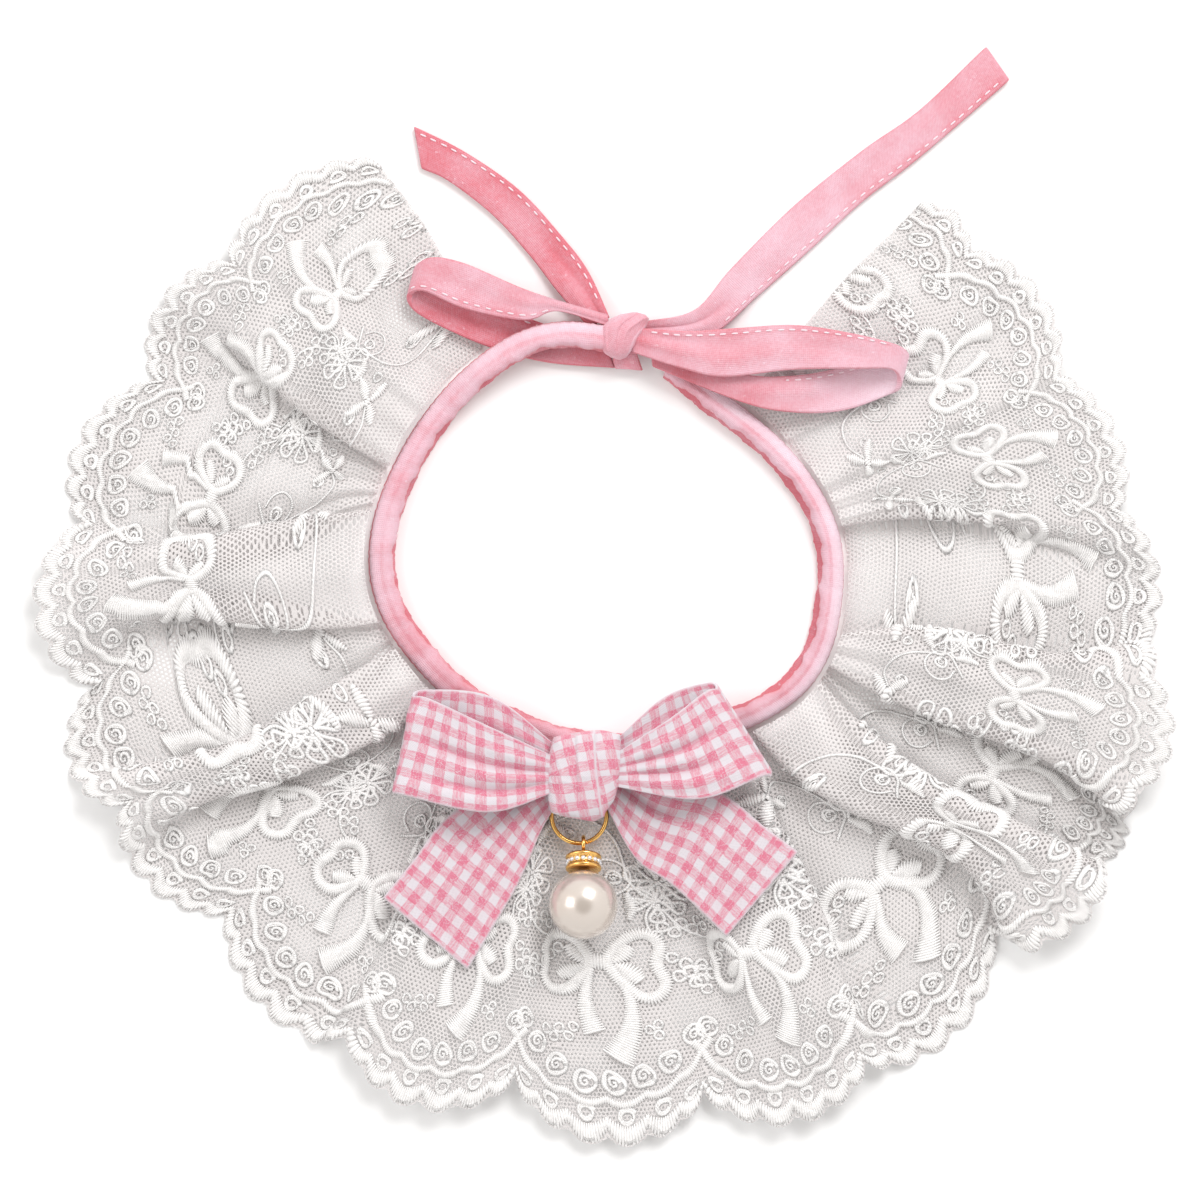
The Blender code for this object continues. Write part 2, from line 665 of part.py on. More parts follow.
def make_ring(name, radius, wire, place, turn, segments, parts, material):
    bpy.ops.mesh.primitive_torus_add(
        major_radius=radius * MM,
        minor_radius=wire / 2.0 * MM,
        major_segments=segments,
        minor_segments=8,
    )
    obj = bpy.context.object
    obj.name = name
    obj.data.name = name
    obj.data.materials.append(material)
    obj.data.shade_smooth()
    for collection in list(obj.users_collection):
        collection.objects.unlink(obj)
    parts.objects.link(obj)
    obj.matrix_world = Matrix.Translation(place) @ turn
    return obj


def make_cap(parts, material):
    """The stone-set spacer between eye and pearl, turned on the drop's axis."""
    mesh = bpy.data.meshes.new("drop_cap")
    profile = bmesh.new()
    half = CAP_THICKNESS / 2.0
    radius = CAP_DIAMETER / 2.0
    outline = [
        (0.0, half),
        (radius - 1.2, half),
        (radius - 0.2, half * 0.6),
        (radius, 0.0),
        (radius - 0.2, -half * 0.6),
        (radius - 1.2, -half),
        (0.0, -half),
    ]
    verts = [profile.verts.new((x * MM, 0.0, z * MM)) for x, z in outline]
    for start, end in zip(verts, verts[1:]):
        profile.edges.new((start, end))
    profile.to_mesh(mesh)
    profile.free()
    obj = add_object("drop_cap", mesh, parts, material)
    turned = obj.modifiers.new("turned", "SCREW")
    turned.steps = 24
    turned.render_steps = 24
    turned.use_merge_vertices = True
    turned.merge_threshold = 0.00001
    turned.use_smooth_shade = True
    return obj


def make_drop(parts, materials):
    """The pearl drop: its pieces hang on one axis and swing together on the ring's wire."""
    hinge = bpy.data.objects.new("drop_hinge", None)
    parts.objects.link(hinge)
    hinge.location = to_world(RING_X + 0.9, RING_Y - RING_RADIUS, RING_HEIGHT)
    hinge.empty_display_size = 5.0 * MM
    eye_y = -0.35
    cap_y = eye_y - EYE_RADIUS - EYE_WIRE / 2.0 - SEAM_GAP - CAP_THICKNESS / 2.0
    pearl_y = cap_y - CAP_THICKNESS / 2.0 - SEAM_GAP - PEARL_DIAMETER / 2.0
    slope = math.asin((PEARL_REST - RING_HEIGHT) / -pearl_y)
    hinge.rotation_euler = (-slope, 0.0, 0.0)
    upright = Matrix.Rotation(math.radians(90.0), 4, "Y")
    eye = make_ring(
        "drop_eye", EYE_RADIUS, EYE_WIRE, Vector((0, 0, 0)), upright, 18, parts, materials["gold"]
    )
    cap = make_cap(parts, materials["stones"])
    bpy.ops.mesh.primitive_uv_sphere_add(segments=24, ring_count=14, radius=PEARL_DIAMETER / 2.0 * MM)
    pearl = bpy.context.object
    pearl.name = "pearl"
    pearl.data.name = "pearl"
    pearl.data.materials.append(materials["pearl"])
    pearl.data.shade_smooth()
    for collection in list(pearl.users_collection):
        collection.objects.unlink(pearl)
    parts.objects.link(pearl)
    along = Matrix.Rotation(math.radians(90.0), 4, "X")
    bead_turn = Matrix.Rotation(math.radians(90.0), 4, "X")
    for obj, distance, turn in ((eye, eye_y, upright), (cap, cap_y, along), (pearl, pearl_y, bead_turn)):
        obj.parent = hinge
        obj.matrix_parent_inverse = Matrix.Identity(4)
        obj.matrix_basis = Matrix.Translation((0.0, distance * MM, 0.0)) @ turn
    return hinge


def main():
    clear_scene()
    parts = make_collection("pet_lace_collar")
    guides = make_collection("guides")
    materials = {
        "pink": make_material("pink_cotton", (0.55, 0.16, 0.22), 0.85, 0.0),
        "lace": make_material("white_lace", (0.83, 0.83, 0.82), 0.8, 0.0),
        "gingham": make_material("pink_gingham", (0.78, 0.36, 0.42), 0.85, 0.0),
        "gold": make_material("gold_wire", (0.86, 0.62, 0.25), 0.25, 1.0),
        "stones": make_material("stone_setting", (0.85, 0.72, 0.45), 0.2, 1.0),
        "pearl": make_material("pearl", (0.9, 0.87, 0.84), 0.2, 0.0),
    }
    make_neckband(parts, guides, materials["pink"])
    make_lace(parts, materials["lace"])
    make_knot("back_knot", BACK_KNOT, parts, materials["pink"])
    for name, rows in (
        ("tie_tail_left", TIE_TAIL_LEFT),
        ("tie_tail_right", TIE_TAIL_RIGHT),
        ("tie_loop_left", TIE_LOOP_LEFT),
        ("tie_loop_right", TIE_LOOP_RIGHT),
    ):
        make_strip(name, rows, TIE_WALL, 0.0, parts, materials["pink"])
    for name, rows in (
        ("bow_loop_left", BOW_LOOP_LEFT),
        ("bow_loop_right", BOW_LOOP_RIGHT),
        ("bow_tail_left", BOW_TAIL_LEFT),
        ("bow_tail_right", BOW_TAIL_RIGHT),
    ):
        make_strip(name, rows, RIBBON_WALL, RIBBON_PLEATS, parts, materials["gingham"])
    make_knot("bow_knot", BOW_KNOT, parts, materials["gingham"])
    flat = Matrix.Identity(4)
    ring_place = to_world(RING_X, RING_Y, RING_HEIGHT)
    make_ring("jump_ring", RING_RADIUS, RING_WIRE, ring_place, flat, 28, parts, materials["gold"])
    make_drop(parts, materials)


main()
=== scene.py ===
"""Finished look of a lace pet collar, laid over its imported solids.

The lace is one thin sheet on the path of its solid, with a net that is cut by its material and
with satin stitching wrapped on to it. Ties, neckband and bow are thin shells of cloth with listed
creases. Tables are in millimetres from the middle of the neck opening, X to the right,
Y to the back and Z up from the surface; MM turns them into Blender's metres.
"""

import math
from collections import namedtuple
from functools import lru_cache

import bmesh
import bpy
import numpy as np
from mathutils import Matrix, Vector


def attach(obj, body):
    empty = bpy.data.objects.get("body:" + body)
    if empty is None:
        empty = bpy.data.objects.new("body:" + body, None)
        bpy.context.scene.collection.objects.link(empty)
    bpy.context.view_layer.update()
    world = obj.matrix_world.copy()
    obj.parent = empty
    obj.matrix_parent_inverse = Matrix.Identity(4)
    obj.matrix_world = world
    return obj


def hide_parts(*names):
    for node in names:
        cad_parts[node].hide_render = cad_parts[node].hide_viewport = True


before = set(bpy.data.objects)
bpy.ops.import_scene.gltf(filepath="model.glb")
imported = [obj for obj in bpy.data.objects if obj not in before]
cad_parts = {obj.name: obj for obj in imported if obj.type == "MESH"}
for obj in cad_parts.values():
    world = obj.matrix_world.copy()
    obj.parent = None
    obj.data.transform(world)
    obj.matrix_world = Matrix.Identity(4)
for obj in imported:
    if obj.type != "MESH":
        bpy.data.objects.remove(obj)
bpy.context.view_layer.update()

bl_info = {
    "name": "Lace Pet Collar",
    "version": (1, 0, 0),
    "blender": (4, 5, 0),
    "location": "View3D > Sidebar > Collar",
    "description": "Dresses the lace collar in net, stitching, cotton tape, gingham and a pearl",
    "category": "Add Mesh",
}


def named_rows(columns, table):
    """A table's rows, with its columns named."""
    row = namedtuple("Row", columns)
    return [row(*values) for values in table]


MM = 0.001
NECK_X = 0.7
NECK_Y = 9.9

# Neckband: a rolled fold of bias tape.
BAND_WIDTH = 5.4
BAND_HEIGHT = 4.2
BAND_START = 90.6
BAND_END = 431.5
BAND_LIFT = 3.2
LOOP_CROSSING = 121.0
LIFT_REACH = 26.0
BAND_WAVE = 0.25
BAND_STATIONS = 460
BAND_WALL = 0.4
# How far puckers and ripples move the roll's ledge, its side and its height, and how much painted shade the
# puckers add to its tone.
LEDGE_PUCKER = 0.34
SIDE_PUCKER = 0.16
PUCKER_SHIFT = 40
SIDE_RIPPLE = 0.10
HIGH_PUCKER = 0.05
HIGH_RIPPLE = 0.015
PUCKER_SHADE = 0.12
# Each point of the roll's section: its side from -1 inside to 1 outside, how much of the outer
# rim's and of the inner ledge's width moves it, its height, and its tone. A tone near 1 is painted
# shade low on the roll's sides and under it; a tone below 0 is painted sheen on its upper outer facet.
BAND_SECTION = named_rows("side rim ledge high tone", [
    (-0.80, 0, 0, 0.00, 1.0), (0.80, 0, 0, 0.00, 1.0), (0.97, 0, 0, 0.05, 1.0), (1.00, 0, 0, 0.16, 1.0),
    (0.99, 1, 0, 0.26, 0.9), (0.99, 1, 0, 0.46, 0.1), (0.95, 1, 0, 0.64, -0.5), (0.78, 0, 0, 0.80, -0.85),
    (0.50, 0, 0, 0.90, -0.8), (0.22, 0, 0, 0.95, -0.55), (0.08, 0, 0, 0.955, 0.15),
    (-0.05, 0, 0, 0.985, 0.2), (-0.30, 0, 0.3, 1.00, -0.05), (-0.62, 0, 0.7, 0.98, 0.0),
    (-0.82, 0, 1, 0.91, 0.05), (-0.93, 0, 1, 0.76, 0.2), (-0.97, 0, 1, 0.56, 0.6), (-0.97, 0, 1, 0.40, 1.0),
    (-0.97, 0, 0, 0.32, 1.0), (-1.00, 0, 0, 0.18, 1.0), (-0.95, 0, 0, 0.04, 1.0),
])
# The widths of the outer rim and of the inner ledge by angle, how much painted shade deepens the
# roll there, most on its lower left away from the light, and how much of its painted sheen shows,
# then its puckers and finer ripples as waves along it: turn per millimetre, start and size.
BAND_RIM = ((90.0, 200.0, 290.0, 427.0), (0.06, 0.12, 0.03, 0.03))
BAND_LEDGE = ((90.0, 150.0, 240.0, 300.0, 380.0, 427.0), (0.06, 0.10, 0.06, 0.30, 0.34, 0.16))
BAND_SHADE = ((90.0, 190.0, 225.0, 262.0, 300.0, 427.0), (0.05, 0.0, 0.65, 0.45, 0.1, 0.05))
BAND_SHEEN = ((90.0, 125.0, 150.0, 240.0, 300.0, 330.0, 427.0), (0.7, 0.2, 0.1, 0.15, 0.6, 0.85, 0.85))
BAND_PUCKERS = ((0.92, 1.2, 0.5), (1.71, 4.1, 0.35), (0.43, 2.6, 0.6), (0.19, 5.3, 0.45))
BAND_RIPPLES = ((3.3, 0.7, 0.5), (4.7, 3.9, 0.5))

# Neck line: the band's inner radius at each angle, anticlockwise from +X.
NECK_ANGLES = (0, 10, 20, 30, 45, 60, 75, 92, 107, 120, 135, 150, 165, 180, 195, 210, 225, 240,
               270, 290, 305, 318, 330, 345)
NECK_RADII = (42.0, 40.0, 37.4, 35.6, 33.0, 33.0, 36.0, 38.8, 41.2, 40.4, 39.7, 39.7, 40.7, 42.6,
              42.8, 40.2, 39.0, 37.4, 37.4, 38.0, 40.2, 43.4, 45.2, 43.0)

# Lace strip: repeats of one scallop, each a big lobe edged with small bumps.
REPEAT = 36.5
STRIP_DEPTH = 65.5
STRIP_UV = 0.65
LACE_MIDDLE = 0.5
HEM_BUMPS = (4, 5, 6, 6, 5, 4)
HEM_EDGES = np.cumsum((0,) + HEM_BUMPS) / sum(HEM_BUMPS)
BUMP_DEPTH = 2.1
LOBE_START = 0.7
SEAM_GAP = 0.3
NECK_LEAN = 0.25
GATHER_PITCH = 11.0
GATHER_HEIGHT = 0.55
GATHER_REACH = 0.42
TIGHT_GATHER = 2.4
CROWN_WIDTH = 8.0
CORNER_REACH = 9.0
CORNER_DROP = 4.5
MEAN_NECK = 46.0
MEAN_HEM = 105.0
SMALLEST_BUMP = 0.8
BUMP_POWER = 0.8
ARCH_POWERS = (2.2, 0.8)
CROWN_START = 0.12
# Where, from neck to hem, the strip starts to spread evenly along its hem, and over what share.
HEM_START = 0.55
HEM_REACH = 0.45
# Turns, in degrees, over which the neck's table is evened out.
NECK_SPREAD = np.arange(-9.0, 9.1, 3.0)
# The angles of the strip's two ends at the neck and half way out; the valleys give them at the hem.
NECK_END_ANGLES = (-237.6, 46.4)
MIDDLE_END_ANGLES = (-240.3, 48.2)
NET_COLUMN = 1.0
FOLD_SHARES = tuple(np.linspace(0.0, 1.0, 27)[1:])
SLOPE_SHARES = tuple(np.linspace(0.0, 1.0, 15)[1:])
NET_ROWS = 52
NET_CLEARANCE = 0.06
ANCHOR_INSET = 0.2

# Scallop valleys along the hem, with the depth of the lobe that follows each.
VALLEYS = named_rows("angle radius depth", [
    (-239.2, 89.0, 4.4), (-216.9, 94.0, 5.4), (-200.0, 96.0, 6.4), (-182.5, 104.7, 8.0),
    (-164.6, 106.2, 7.0), (-151.7, 109.4, 5.6), (-136.0, 105.4, 6.0), (-117.4, 110.8, 8.0),
    (-99.8, 107.4, 9.2), (-80.0, 110.8, 7.0), (-63.5, 115.1, 6.4), (-45.8, 109.9, 6.2), (-32.7, 116.5, 3.0),
    (-26.2, 113.4, 7.6), (-11.8, 106.8, 5.2), (4.0, 102.0, 4.4), (20.8, 95.8, 4.8), (39.0, 93.2, 4.0),
    (47.5, 92.2, 0.0),
])
LAST_REPEAT_SHARE = 0.4

# Panels of the gathered strip: each one's height at the neck, half way out and at the hem, and how
# far it rounds up between its edges.
PANELS = named_rows("neck middle hem crown", [
    (0.0, 0.0, 0.0, 0.0), (2.9, 5.0, 2.4, 0.5), (0.0, 0.0, 0.0, 0.5), (2.9, 6.2, 4.4, 1.2),
    (0.0, 0.0, 0.0, 0.0), (2.9, 6.6, 5.4, 0.9), (0.0, 0.0, 0.0, 0.7), (0.0, 3.4, 4.2, 0.4),
    (0.0, 0.0, 2.6, 0.3), (0.0, 4.8, 4.2, 0.3), (0.0, 0.0, 0.0, 0.5), (2.9, 7.4, 6.4, 1.6),
    (0.0, 0.0, 0.0, 0.0), (2.9, 6.2, 7.0, 1.0), (0.0, 0.0, 0.0, 0.6), (2.9, 4.4, 1.4, 0.4),
    (0.0, 0.0, 0.0, 0.3),
])

# Folds between neighbouring panels: the angle of the fold's visible edge at four stations
# from neck to hem, how far its upper panel laps over there, and the cloth that it takes up.
FOLDS = named_rows("edge lap span", [
    ((-221.0, -221.0, -222.0, -224.0), (-9, -12, -14, -18), 20),
    ((-200.2, -202.8, -206.8, -209.5), (3.5, 7.0, 3.5, -8), 22),
    ((-188.5, -184.2, -180.5, -179.5), (3.5, 7.0, 4.0, -6), 18),
    ((-160.8, -165.5, -170.6, -169.7), (3.5, 7.0, 4.5, -6), 18),
    ((-153.8, -152.6, -152.2, -155.0), (3.0, 4.5, 4.0, -2), 12),
    ((-137.4, -141.0, -145.9, -149.0), (1.4, 4.2, 3.5, -3), 12),
    ((-122.0, -120.5, -119.2, -118.2), (-6, -2.0, 3.0, 1.5), 14),
    ((-101.0, -100.5, -99.5, -99.5), (-6, -6, -5, -3), 12),
    ((-76.0, -75.0, -74.0, -74.0), (-6, -7, -8, -8), 14),
    ((-58.0, -58.5, -60.4, -63.0), (-1.0, 5.0, 4.0, -2), 16),
    ((-51.8, -48.2, -42.2, -43.0), (1.2, 5.8, 5.0, 0.6), 14),
    ((-33.0, -35.8, -34.6, -34.5), (3.0, 5.0, 4.5, 2.5), 16),
    ((-28.2, -28.3, -26.3, -25.7), (1.5, 3.0, 3.5, 2.6), 17),
    ((-20.5, -14.0, -14.0, -12.4), (2.0, 3.5, 3.0, 2.0), 12),
    ((4.6, 4.6, 2.0, 0.0), (2.0, 3.4, -2.0, -10), 14), ((22.0, 23.0, 24.0, 24.0), (-8, -12, -16, -26), 26),
])
# How much of a fold lies before its edge, how much of its cloth it keeps in line at the neck where
# it laps over and where it is open, its tightest turn and its widest overhang.
EDGE_SHARE = 0.27
NECK_RUN_SHARE = 0.1
OPEN_RUN_SHARE = 0.45
TIGHTEST_TURN = 0.74
WIDEST_OVERHANG = 6.0

# Soft troughs and ridges. On the lace a place is along the flat strip, the start and end are
# shares from neck to hem, and all but the last few start at the neck. On a strip the place is a
# share across it, and the start and end are rows of its table. Lift is the height. Drift moves
# the place towards the end, where a crease is wider by CREASE_SPREAD. Its ends fade out over
# LACE_FADE or STRIP_FADE.
CREASE = "place start end width lift drift"
CREASE_SPREAD = 0.6
LACE_FADE = 0.12
STRIP_FADE = 0.6
LACE_CREASES = named_rows(CREASE, [(place, 0.0, *rest) for place, *rest in (
    (6, 0.50, 3.0, -0.5, 1.5), (14, 0.30, 2.2, 0.4, -1.0), (25, 0.65, 3.4, 0.5, 2.5),
    (31, 0.34, 2.0, -0.4, 0.5), (41, 0.42, 2.8, -0.5, -2.0), (49, 0.74, 3.2, 0.45, -1.0),
    (56, 0.36, 2.2, -0.5, 1.0), (68, 0.58, 3.0, 0.5, 2.0), (79, 0.40, 2.4, -0.5, -1.5),
    (88, 0.70, 3.6, 0.5, 1.0), (97, 0.32, 2.2, -0.45, 0.0), (106, 0.46, 2.6, 0.5, 2.5),
    (118, 0.66, 3.4, -0.5, -2.0), (126, 0.38, 2.4, 0.45, 1.0), (137, 0.52, 3.0, -0.5, 1.5),
    (143, 0.30, 2.0, 0.4, 0.0), (155, 0.62, 3.2, 0.5, -2.5), (164, 0.44, 2.6, -0.5, 1.0),
    (176, 0.76, 3.6, 0.45, 2.0), (185, 0.36, 2.2, -0.45, -1.0), (196, 0.56, 3.0, 0.5, 1.5),
    (207, 0.34, 2.4, -0.5, 0.5), (214, 0.48, 2.6, 0.45, -1.5), (226, 0.70, 3.4, -0.5, 2.0),
    (238, 0.40, 2.4, 0.5, 1.0), (246, 0.30, 2.0, -0.4, 0.0), (257, 0.60, 3.2, 0.5, -2.0),
    (268, 0.42, 2.6, -0.5, 1.5), (277, 0.34, 2.2, 0.45, 1.0), (289, 0.64, 3.4, -0.55, -1.0),
    (298, 0.38, 2.4, 0.5, 0.5), (309, 0.52, 3.0, -0.5, 2.0), (318, 0.32, 2.2, 0.4, -1.0),
    (329, 0.68, 3.4, 0.5, 1.5), (338, 0.40, 2.4, -0.5, 0.0), (349, 0.54, 3.0, 0.5, -2.0),
    (360, 0.36, 2.2, -0.45, 1.0), (369, 0.72, 3.6, 0.5, 2.5), (380, 0.42, 2.6, -0.5, -1.5),
    (391, 0.60, 3.2, 0.5, 1.0), (399, 0.32, 2.0, -0.4, 0.5), (410, 0.50, 2.8, 0.5, -1.0),
    (421, 0.66, 3.4, -0.5, 2.0), (432, 0.38, 2.4, 0.45, 1.5), (441, 0.34, 2.2, -0.5, 0.0),
    (453, 0.58, 3.2, 0.5, -2.0), (463, 0.42, 2.4, -0.45, 1.0), (474, 0.30, 2.0, 0.4, 0.5),
    (486, 0.68, 3.6, -0.5, 2.0), (497, 0.44, 2.6, 0.5, -1.5), (508, 0.36, 2.2, -0.45, 1.0),
    (519, 0.62, 3.2, 0.5, 2.0), (531, 0.40, 2.4, -0.5, -1.0), (542, 0.54, 3.0, 0.5, 1.5),
    (553, 0.34, 2.2, -0.4, 0.0), (566, 0.72, 3.6, 0.5, -2.5), (577, 0.44, 2.6, -0.5, 1.0),
    (588, 0.58, 3.0, 0.5, 2.0), (599, 0.38, 2.4, -0.45, -1.0), (611, 0.50, 2.8, 0.45, 1.0),
)] + [
    (62, 0.55, 0.95, 4.0, 0.5, -2.0), (148, 0.50, 0.92, 4.2, -0.45, 3.0), (262, 0.58, 0.96, 4.4, 0.5, -3.0),
    (340, 0.52, 0.90, 4.0, -0.45, 2.0), (428, 0.56, 0.94, 4.2, 0.5, 2.5),
    (560, 0.50, 0.92, 4.6, -0.5, -3.0),
])

# Cloth strips. Each row gives both edges of a strip and its height over the surface.
STRIP_CLEARANCE = 0.02
OWN_WIDTH_SHARE = 0.25
TIE_WALL = 1.2
TONGUE_WALL = 0.9
RIBBON_WALL = 0.7
STRIP_STEPS = {"tie": (12, 16), "bow": (12, 30), "knot": (12, 12)}
STRIPS = {name: named_rows("ax ay bx by z", table) for name, table in {
    "knot_tongue": (
        (2.2, 41.0, 5.0, 41.2, 3.6), (2.0, 38.8, 5.6, 39.2, 4.0), (1.2, 37.2, 6.4, 37.2, 3.4),
        (1.6, 35.4, 7.2, 35.0, 2.4),
    ),
    "tie_tail_left": (
        (0.6, 45.4, -3.6, 43.4, 3.6), (-3.8, 55.0, -10.0, 50.8, 1.6), (-9.6, 62.6, -15.2, 57.6, 0.9),
        (-17.8, 71.4, -22.6, 65.8, 0.9), (-28.8, 79.0, -31.6, 72.8, 0.9), (-38.8, 84.0, -37.2, 75.4, 0.9),
    ),
    "tie_tail_right": (
        (6.6, 44.6, 7.4, 40.6, 3.4), (17.4, 47.0, 20.6, 42.0, 2.6), (24.8, 55.4, 30.4, 50.0, 0.9),
        (37.2, 67.8, 40.6, 59.0, 0.9), (51.0, 79.0, 51.0, 68.6, 0.9), (62.6, 87.2, 62.6, 77.6, 0.9),
        (76.0, 100.0, 80.8, 93.2, 0.9),
    ),
    "tie_loop_left": (
        (0.2, 46.0, 0.4, 43.6, 5.0), (-10.4, 49.0, -9.8, 46.6, 5.8), (-17.8, 51.6, -16.4, 44.8, 5.9),
        (-28.4, 56.2, -28.2, 47.0, 5.9), (-35.0, 57.4, -36.6, 50.6, 5.7), (-38.0, 55.2, -39.6, 49.2, 3.9),
        (-35.2, 53.6, -37.2, 45.8, 2.4), (-26.0, 49.2, -24.8, 40.0, 2.2), (-14.4, 45.0, -12.4, 36.6, 1.5),
        (0.2, 39.6, 1.8, 35.4, 1.7),
    ),
    "tie_loop_right": (
        (5.4, 43.4, 5.0, 38.4, 5.6), (16.0, 42.6, 15.2, 35.0, 8.0), (26.0, 43.2, 23.4, 33.4, 8.4),
        (37.2, 43.8, 36.8, 34.8, 8.2), (47.6, 42.4, 50.0, 35.0, 7.8), (57.6, 40.0, 57.0, 34.8, 6.8),
        (59.8, 38.0, 58.2, 31.4, 4.8), (56.0, 38.6, 55.4, 29.6, 3.0), (47.0, 35.6, 47.0, 26.8, 3.2),
        (37.2, 33.8, 37.2, 26.4, 5.4), (26.4, 34.2, 27.0, 28.4, 6.0), (8.6, 39.0, 9.0, 35.6, 5.0),
    ),
    "bow_loop_left": (
        (-9.4, -40.6, -9.6, -47.8, 6.6), (-22.6, -30.4, -21.4, -52.8, 6.9),
        (-36.0, -28.8, -40.2, -48.6, 6.9), (-38.4, -30.0, -42.2, -49.4, 8.9),
        (-35.2, -30.6, -40.4, -49.8, 10.9), (-24.0, -35.8, -23.4, -53.2, 11.3),
        (-9.0, -42.8, -9.2, -48.8, 9.2),
    ),
    "bow_loop_right": (
        (0.8, -39.8, 1.0, -46.8, 6.6), (11.2, -30.4, 15.0, -50.0, 6.9), (20.2, -27.4, 30.6, -45.0, 6.9),
        (21.6, -28.6, 32.6, -46.2, 8.9), (19.4, -29.2, 30.6, -46.2, 10.9), (12.6, -34.4, 18.0, -50.6, 11.3),
        (0.6, -42.2, 0.8, -48.0, 9.2),
    ),
    "bow_tail_left": (
        (-9.2, -42.6, -8.8, -49.8, 5.0), (-20.2, -46.4, -13.0, -57.0, 4.4),
        (-32.2, -54.6, -17.4, -67.2, 4.8), (-38.6, -62.8, -22.6, -76.2, 5.8),
        (-44.8, -70.4, -27.8, -84.8, 6.0),
    ),
    "bow_tail_right": (
        (1.2, -44.6, -0.6, -51.6, 4.7), (12.0, -47.8, 5.6, -62.6, 4.2), (22.6, -49.4, 12.6, -67.6, 5.4),
        (31.0, -55.8, 19.0, -73.4, 6.6), (38.2, -61.2, 23.8, -78.2, 7.0),
    ),
}.items()}
STRIP_CREASES = {name: named_rows(CREASE, table) for name, table in {
    "knot_tongue": (
        (0.40, 0.0, 3.0, 0.16, -0.4, 0.1), (0.75, 0.4, 3.0, 0.14, 0.3, 0.1),
    ),
    "tie_tail_left": (
        (0.30, 0.0, 2.2, 0.10, -0.35, 0.15), (0.62, 0.0, 1.6, 0.12, 0.35, 0.10),
        (0.45, 1.4, 3.4, 0.16, -0.22, -0.15), (0.70, 2.6, 4.6, 0.14, 0.2, 0.1),
    ),
    "tie_tail_right": (
        (0.35, 0.0, 1.9, 0.10, -0.4, 0.2), (0.68, 0.0, 1.6, 0.12, 0.35, -0.1),
        (0.40, 1.8, 3.8, 0.16, 0.25, 0.15), (0.60, 3.2, 5.0, 0.18, -0.22, -0.2),
        (0.35, 4.4, 6.0, 0.15, 0.2, 0.2),
    ),
    "tie_loop_left": (
        (0.40, 0.0, 2.6, 0.14, -0.3, 0.1), (0.65, 1.4, 4.0, 0.14, 0.25, -0.15),
        (0.50, 6.4, 8.6, 0.14, -0.3, 0.1),
    ),
    "tie_loop_right": (
        (0.45, 0.0, 1.8, 0.12, -0.45, 0.15), (0.25, 0.2, 2.4, 0.14, 0.4, 0.1),
        (0.70, 1.2, 3.6, 0.15, -0.35, -0.2), (0.40, 2.6, 4.6, 0.16, 0.35, 0.2),
        (0.55, 6.6, 9.0, 0.16, -0.35, 0.1), (0.40, 8.2, 10.6, 0.14, 0.3, 0.1),
    ),
    "bow_loop_left": (
        (0.42, 3.9, 6.0, 0.050, -0.95, 0.06), (0.78, 4.2, 6.0, 0.045, -0.9, -0.06),
        (0.58, 4.5, 6.0, 0.050, 0.7, 0.02), (0.24, 4.7, 6.0, 0.050, 0.55, 0.08),
        (0.30, 0.0, 1.5, 0.070, -0.6, -0.05), (0.62, 0.0, 1.3, 0.070, 0.5, 0.05),
        (0.90, 3.4, 5.4, 0.060, 0.5, -0.03), (0.20, 2.4, 4.2, 0.080, 0.4, 0.05),
    ),
    "bow_loop_right": (
        (0.36, 4.1, 6.0, 0.050, -0.95, 0.08), (0.66, 4.4, 6.0, 0.045, -0.8, -0.04),
        (0.50, 4.6, 6.0, 0.050, 0.7, 0.02), (0.20, 4.6, 6.0, 0.050, 0.6, 0.10),
        (0.84, 4.0, 6.0, 0.060, 0.6, -0.08), (0.30, 0.0, 1.5, 0.070, -0.6, 0.05),
        (0.60, 0.0, 1.3, 0.070, 0.5, 0.05),
    ),
    "bow_tail_left": (
        (0.30, 0.0, 1.5, 0.070, -0.6, 0.10), (0.60, 0.0, 1.9, 0.080, 0.6, -0.06),
        (0.82, 0.2, 1.4, 0.070, -0.5, -0.04), (0.45, 1.2, 3.0, 0.14, 0.4, 0.10),
        (0.70, 2.2, 4.0, 0.16, -0.3, -0.10),
    ),
    "bow_tail_right": (
        (0.28, 0.0, 1.7, 0.070, -0.6, 0.08), (0.52, 0.0, 2.0, 0.080, 0.7, -0.04),
        (0.78, 0.1, 1.5, 0.070, -0.5, -0.05), (0.40, 1.4, 3.2, 0.16, 0.35, 0.12),
        (0.66, 2.4, 4.0, 0.16, -0.3, 0.08),
    ),
}.items()}

# The tape's tone along each strip, row by row: 0 is its own pink, 1 the deep one, -1 the pale one.
# It is partly the tape's own uneven colour and partly painted light: painted shade inside the
# loops and on the left tail, and painted light on the shaded inside of the right loop's end.
STRIP_TONE_AND_SHADE = {
    "knot_tongue": (0.3, 0.4, 0.5, 0.5),
    "tie_tail_left": (0.75, 0.7, 0.65, 0.7, 0.75, 0.8),
    "tie_tail_right": (0.4, 0.1, -0.1, 0.0, 0.15, 0.25, 0.35),
    "tie_loop_left": (0.4, 0.35, 0.2, 0.3, 0.35, 0.5, 0.8, 0.85, 0.8, 0.8),
    "tie_loop_right": (0.45, 0.35, 0.25, 0.15, 0.25, 0.1, -0.4, -0.6, -0.2, 0.3, 0.6, 0.8),
}
KNOT_TONE = 0.2
# Painted shade: how much the trough of a crease deepens the cloth's tone.
CREASE_SHADE = 0.5
# Painted shade: how much a row of topstitching deepens the tape's tone.
SEAM_SHADE = 0.3
EDGE_TONE = 0.45
RIBBON_EDGE_TONE = -1.0
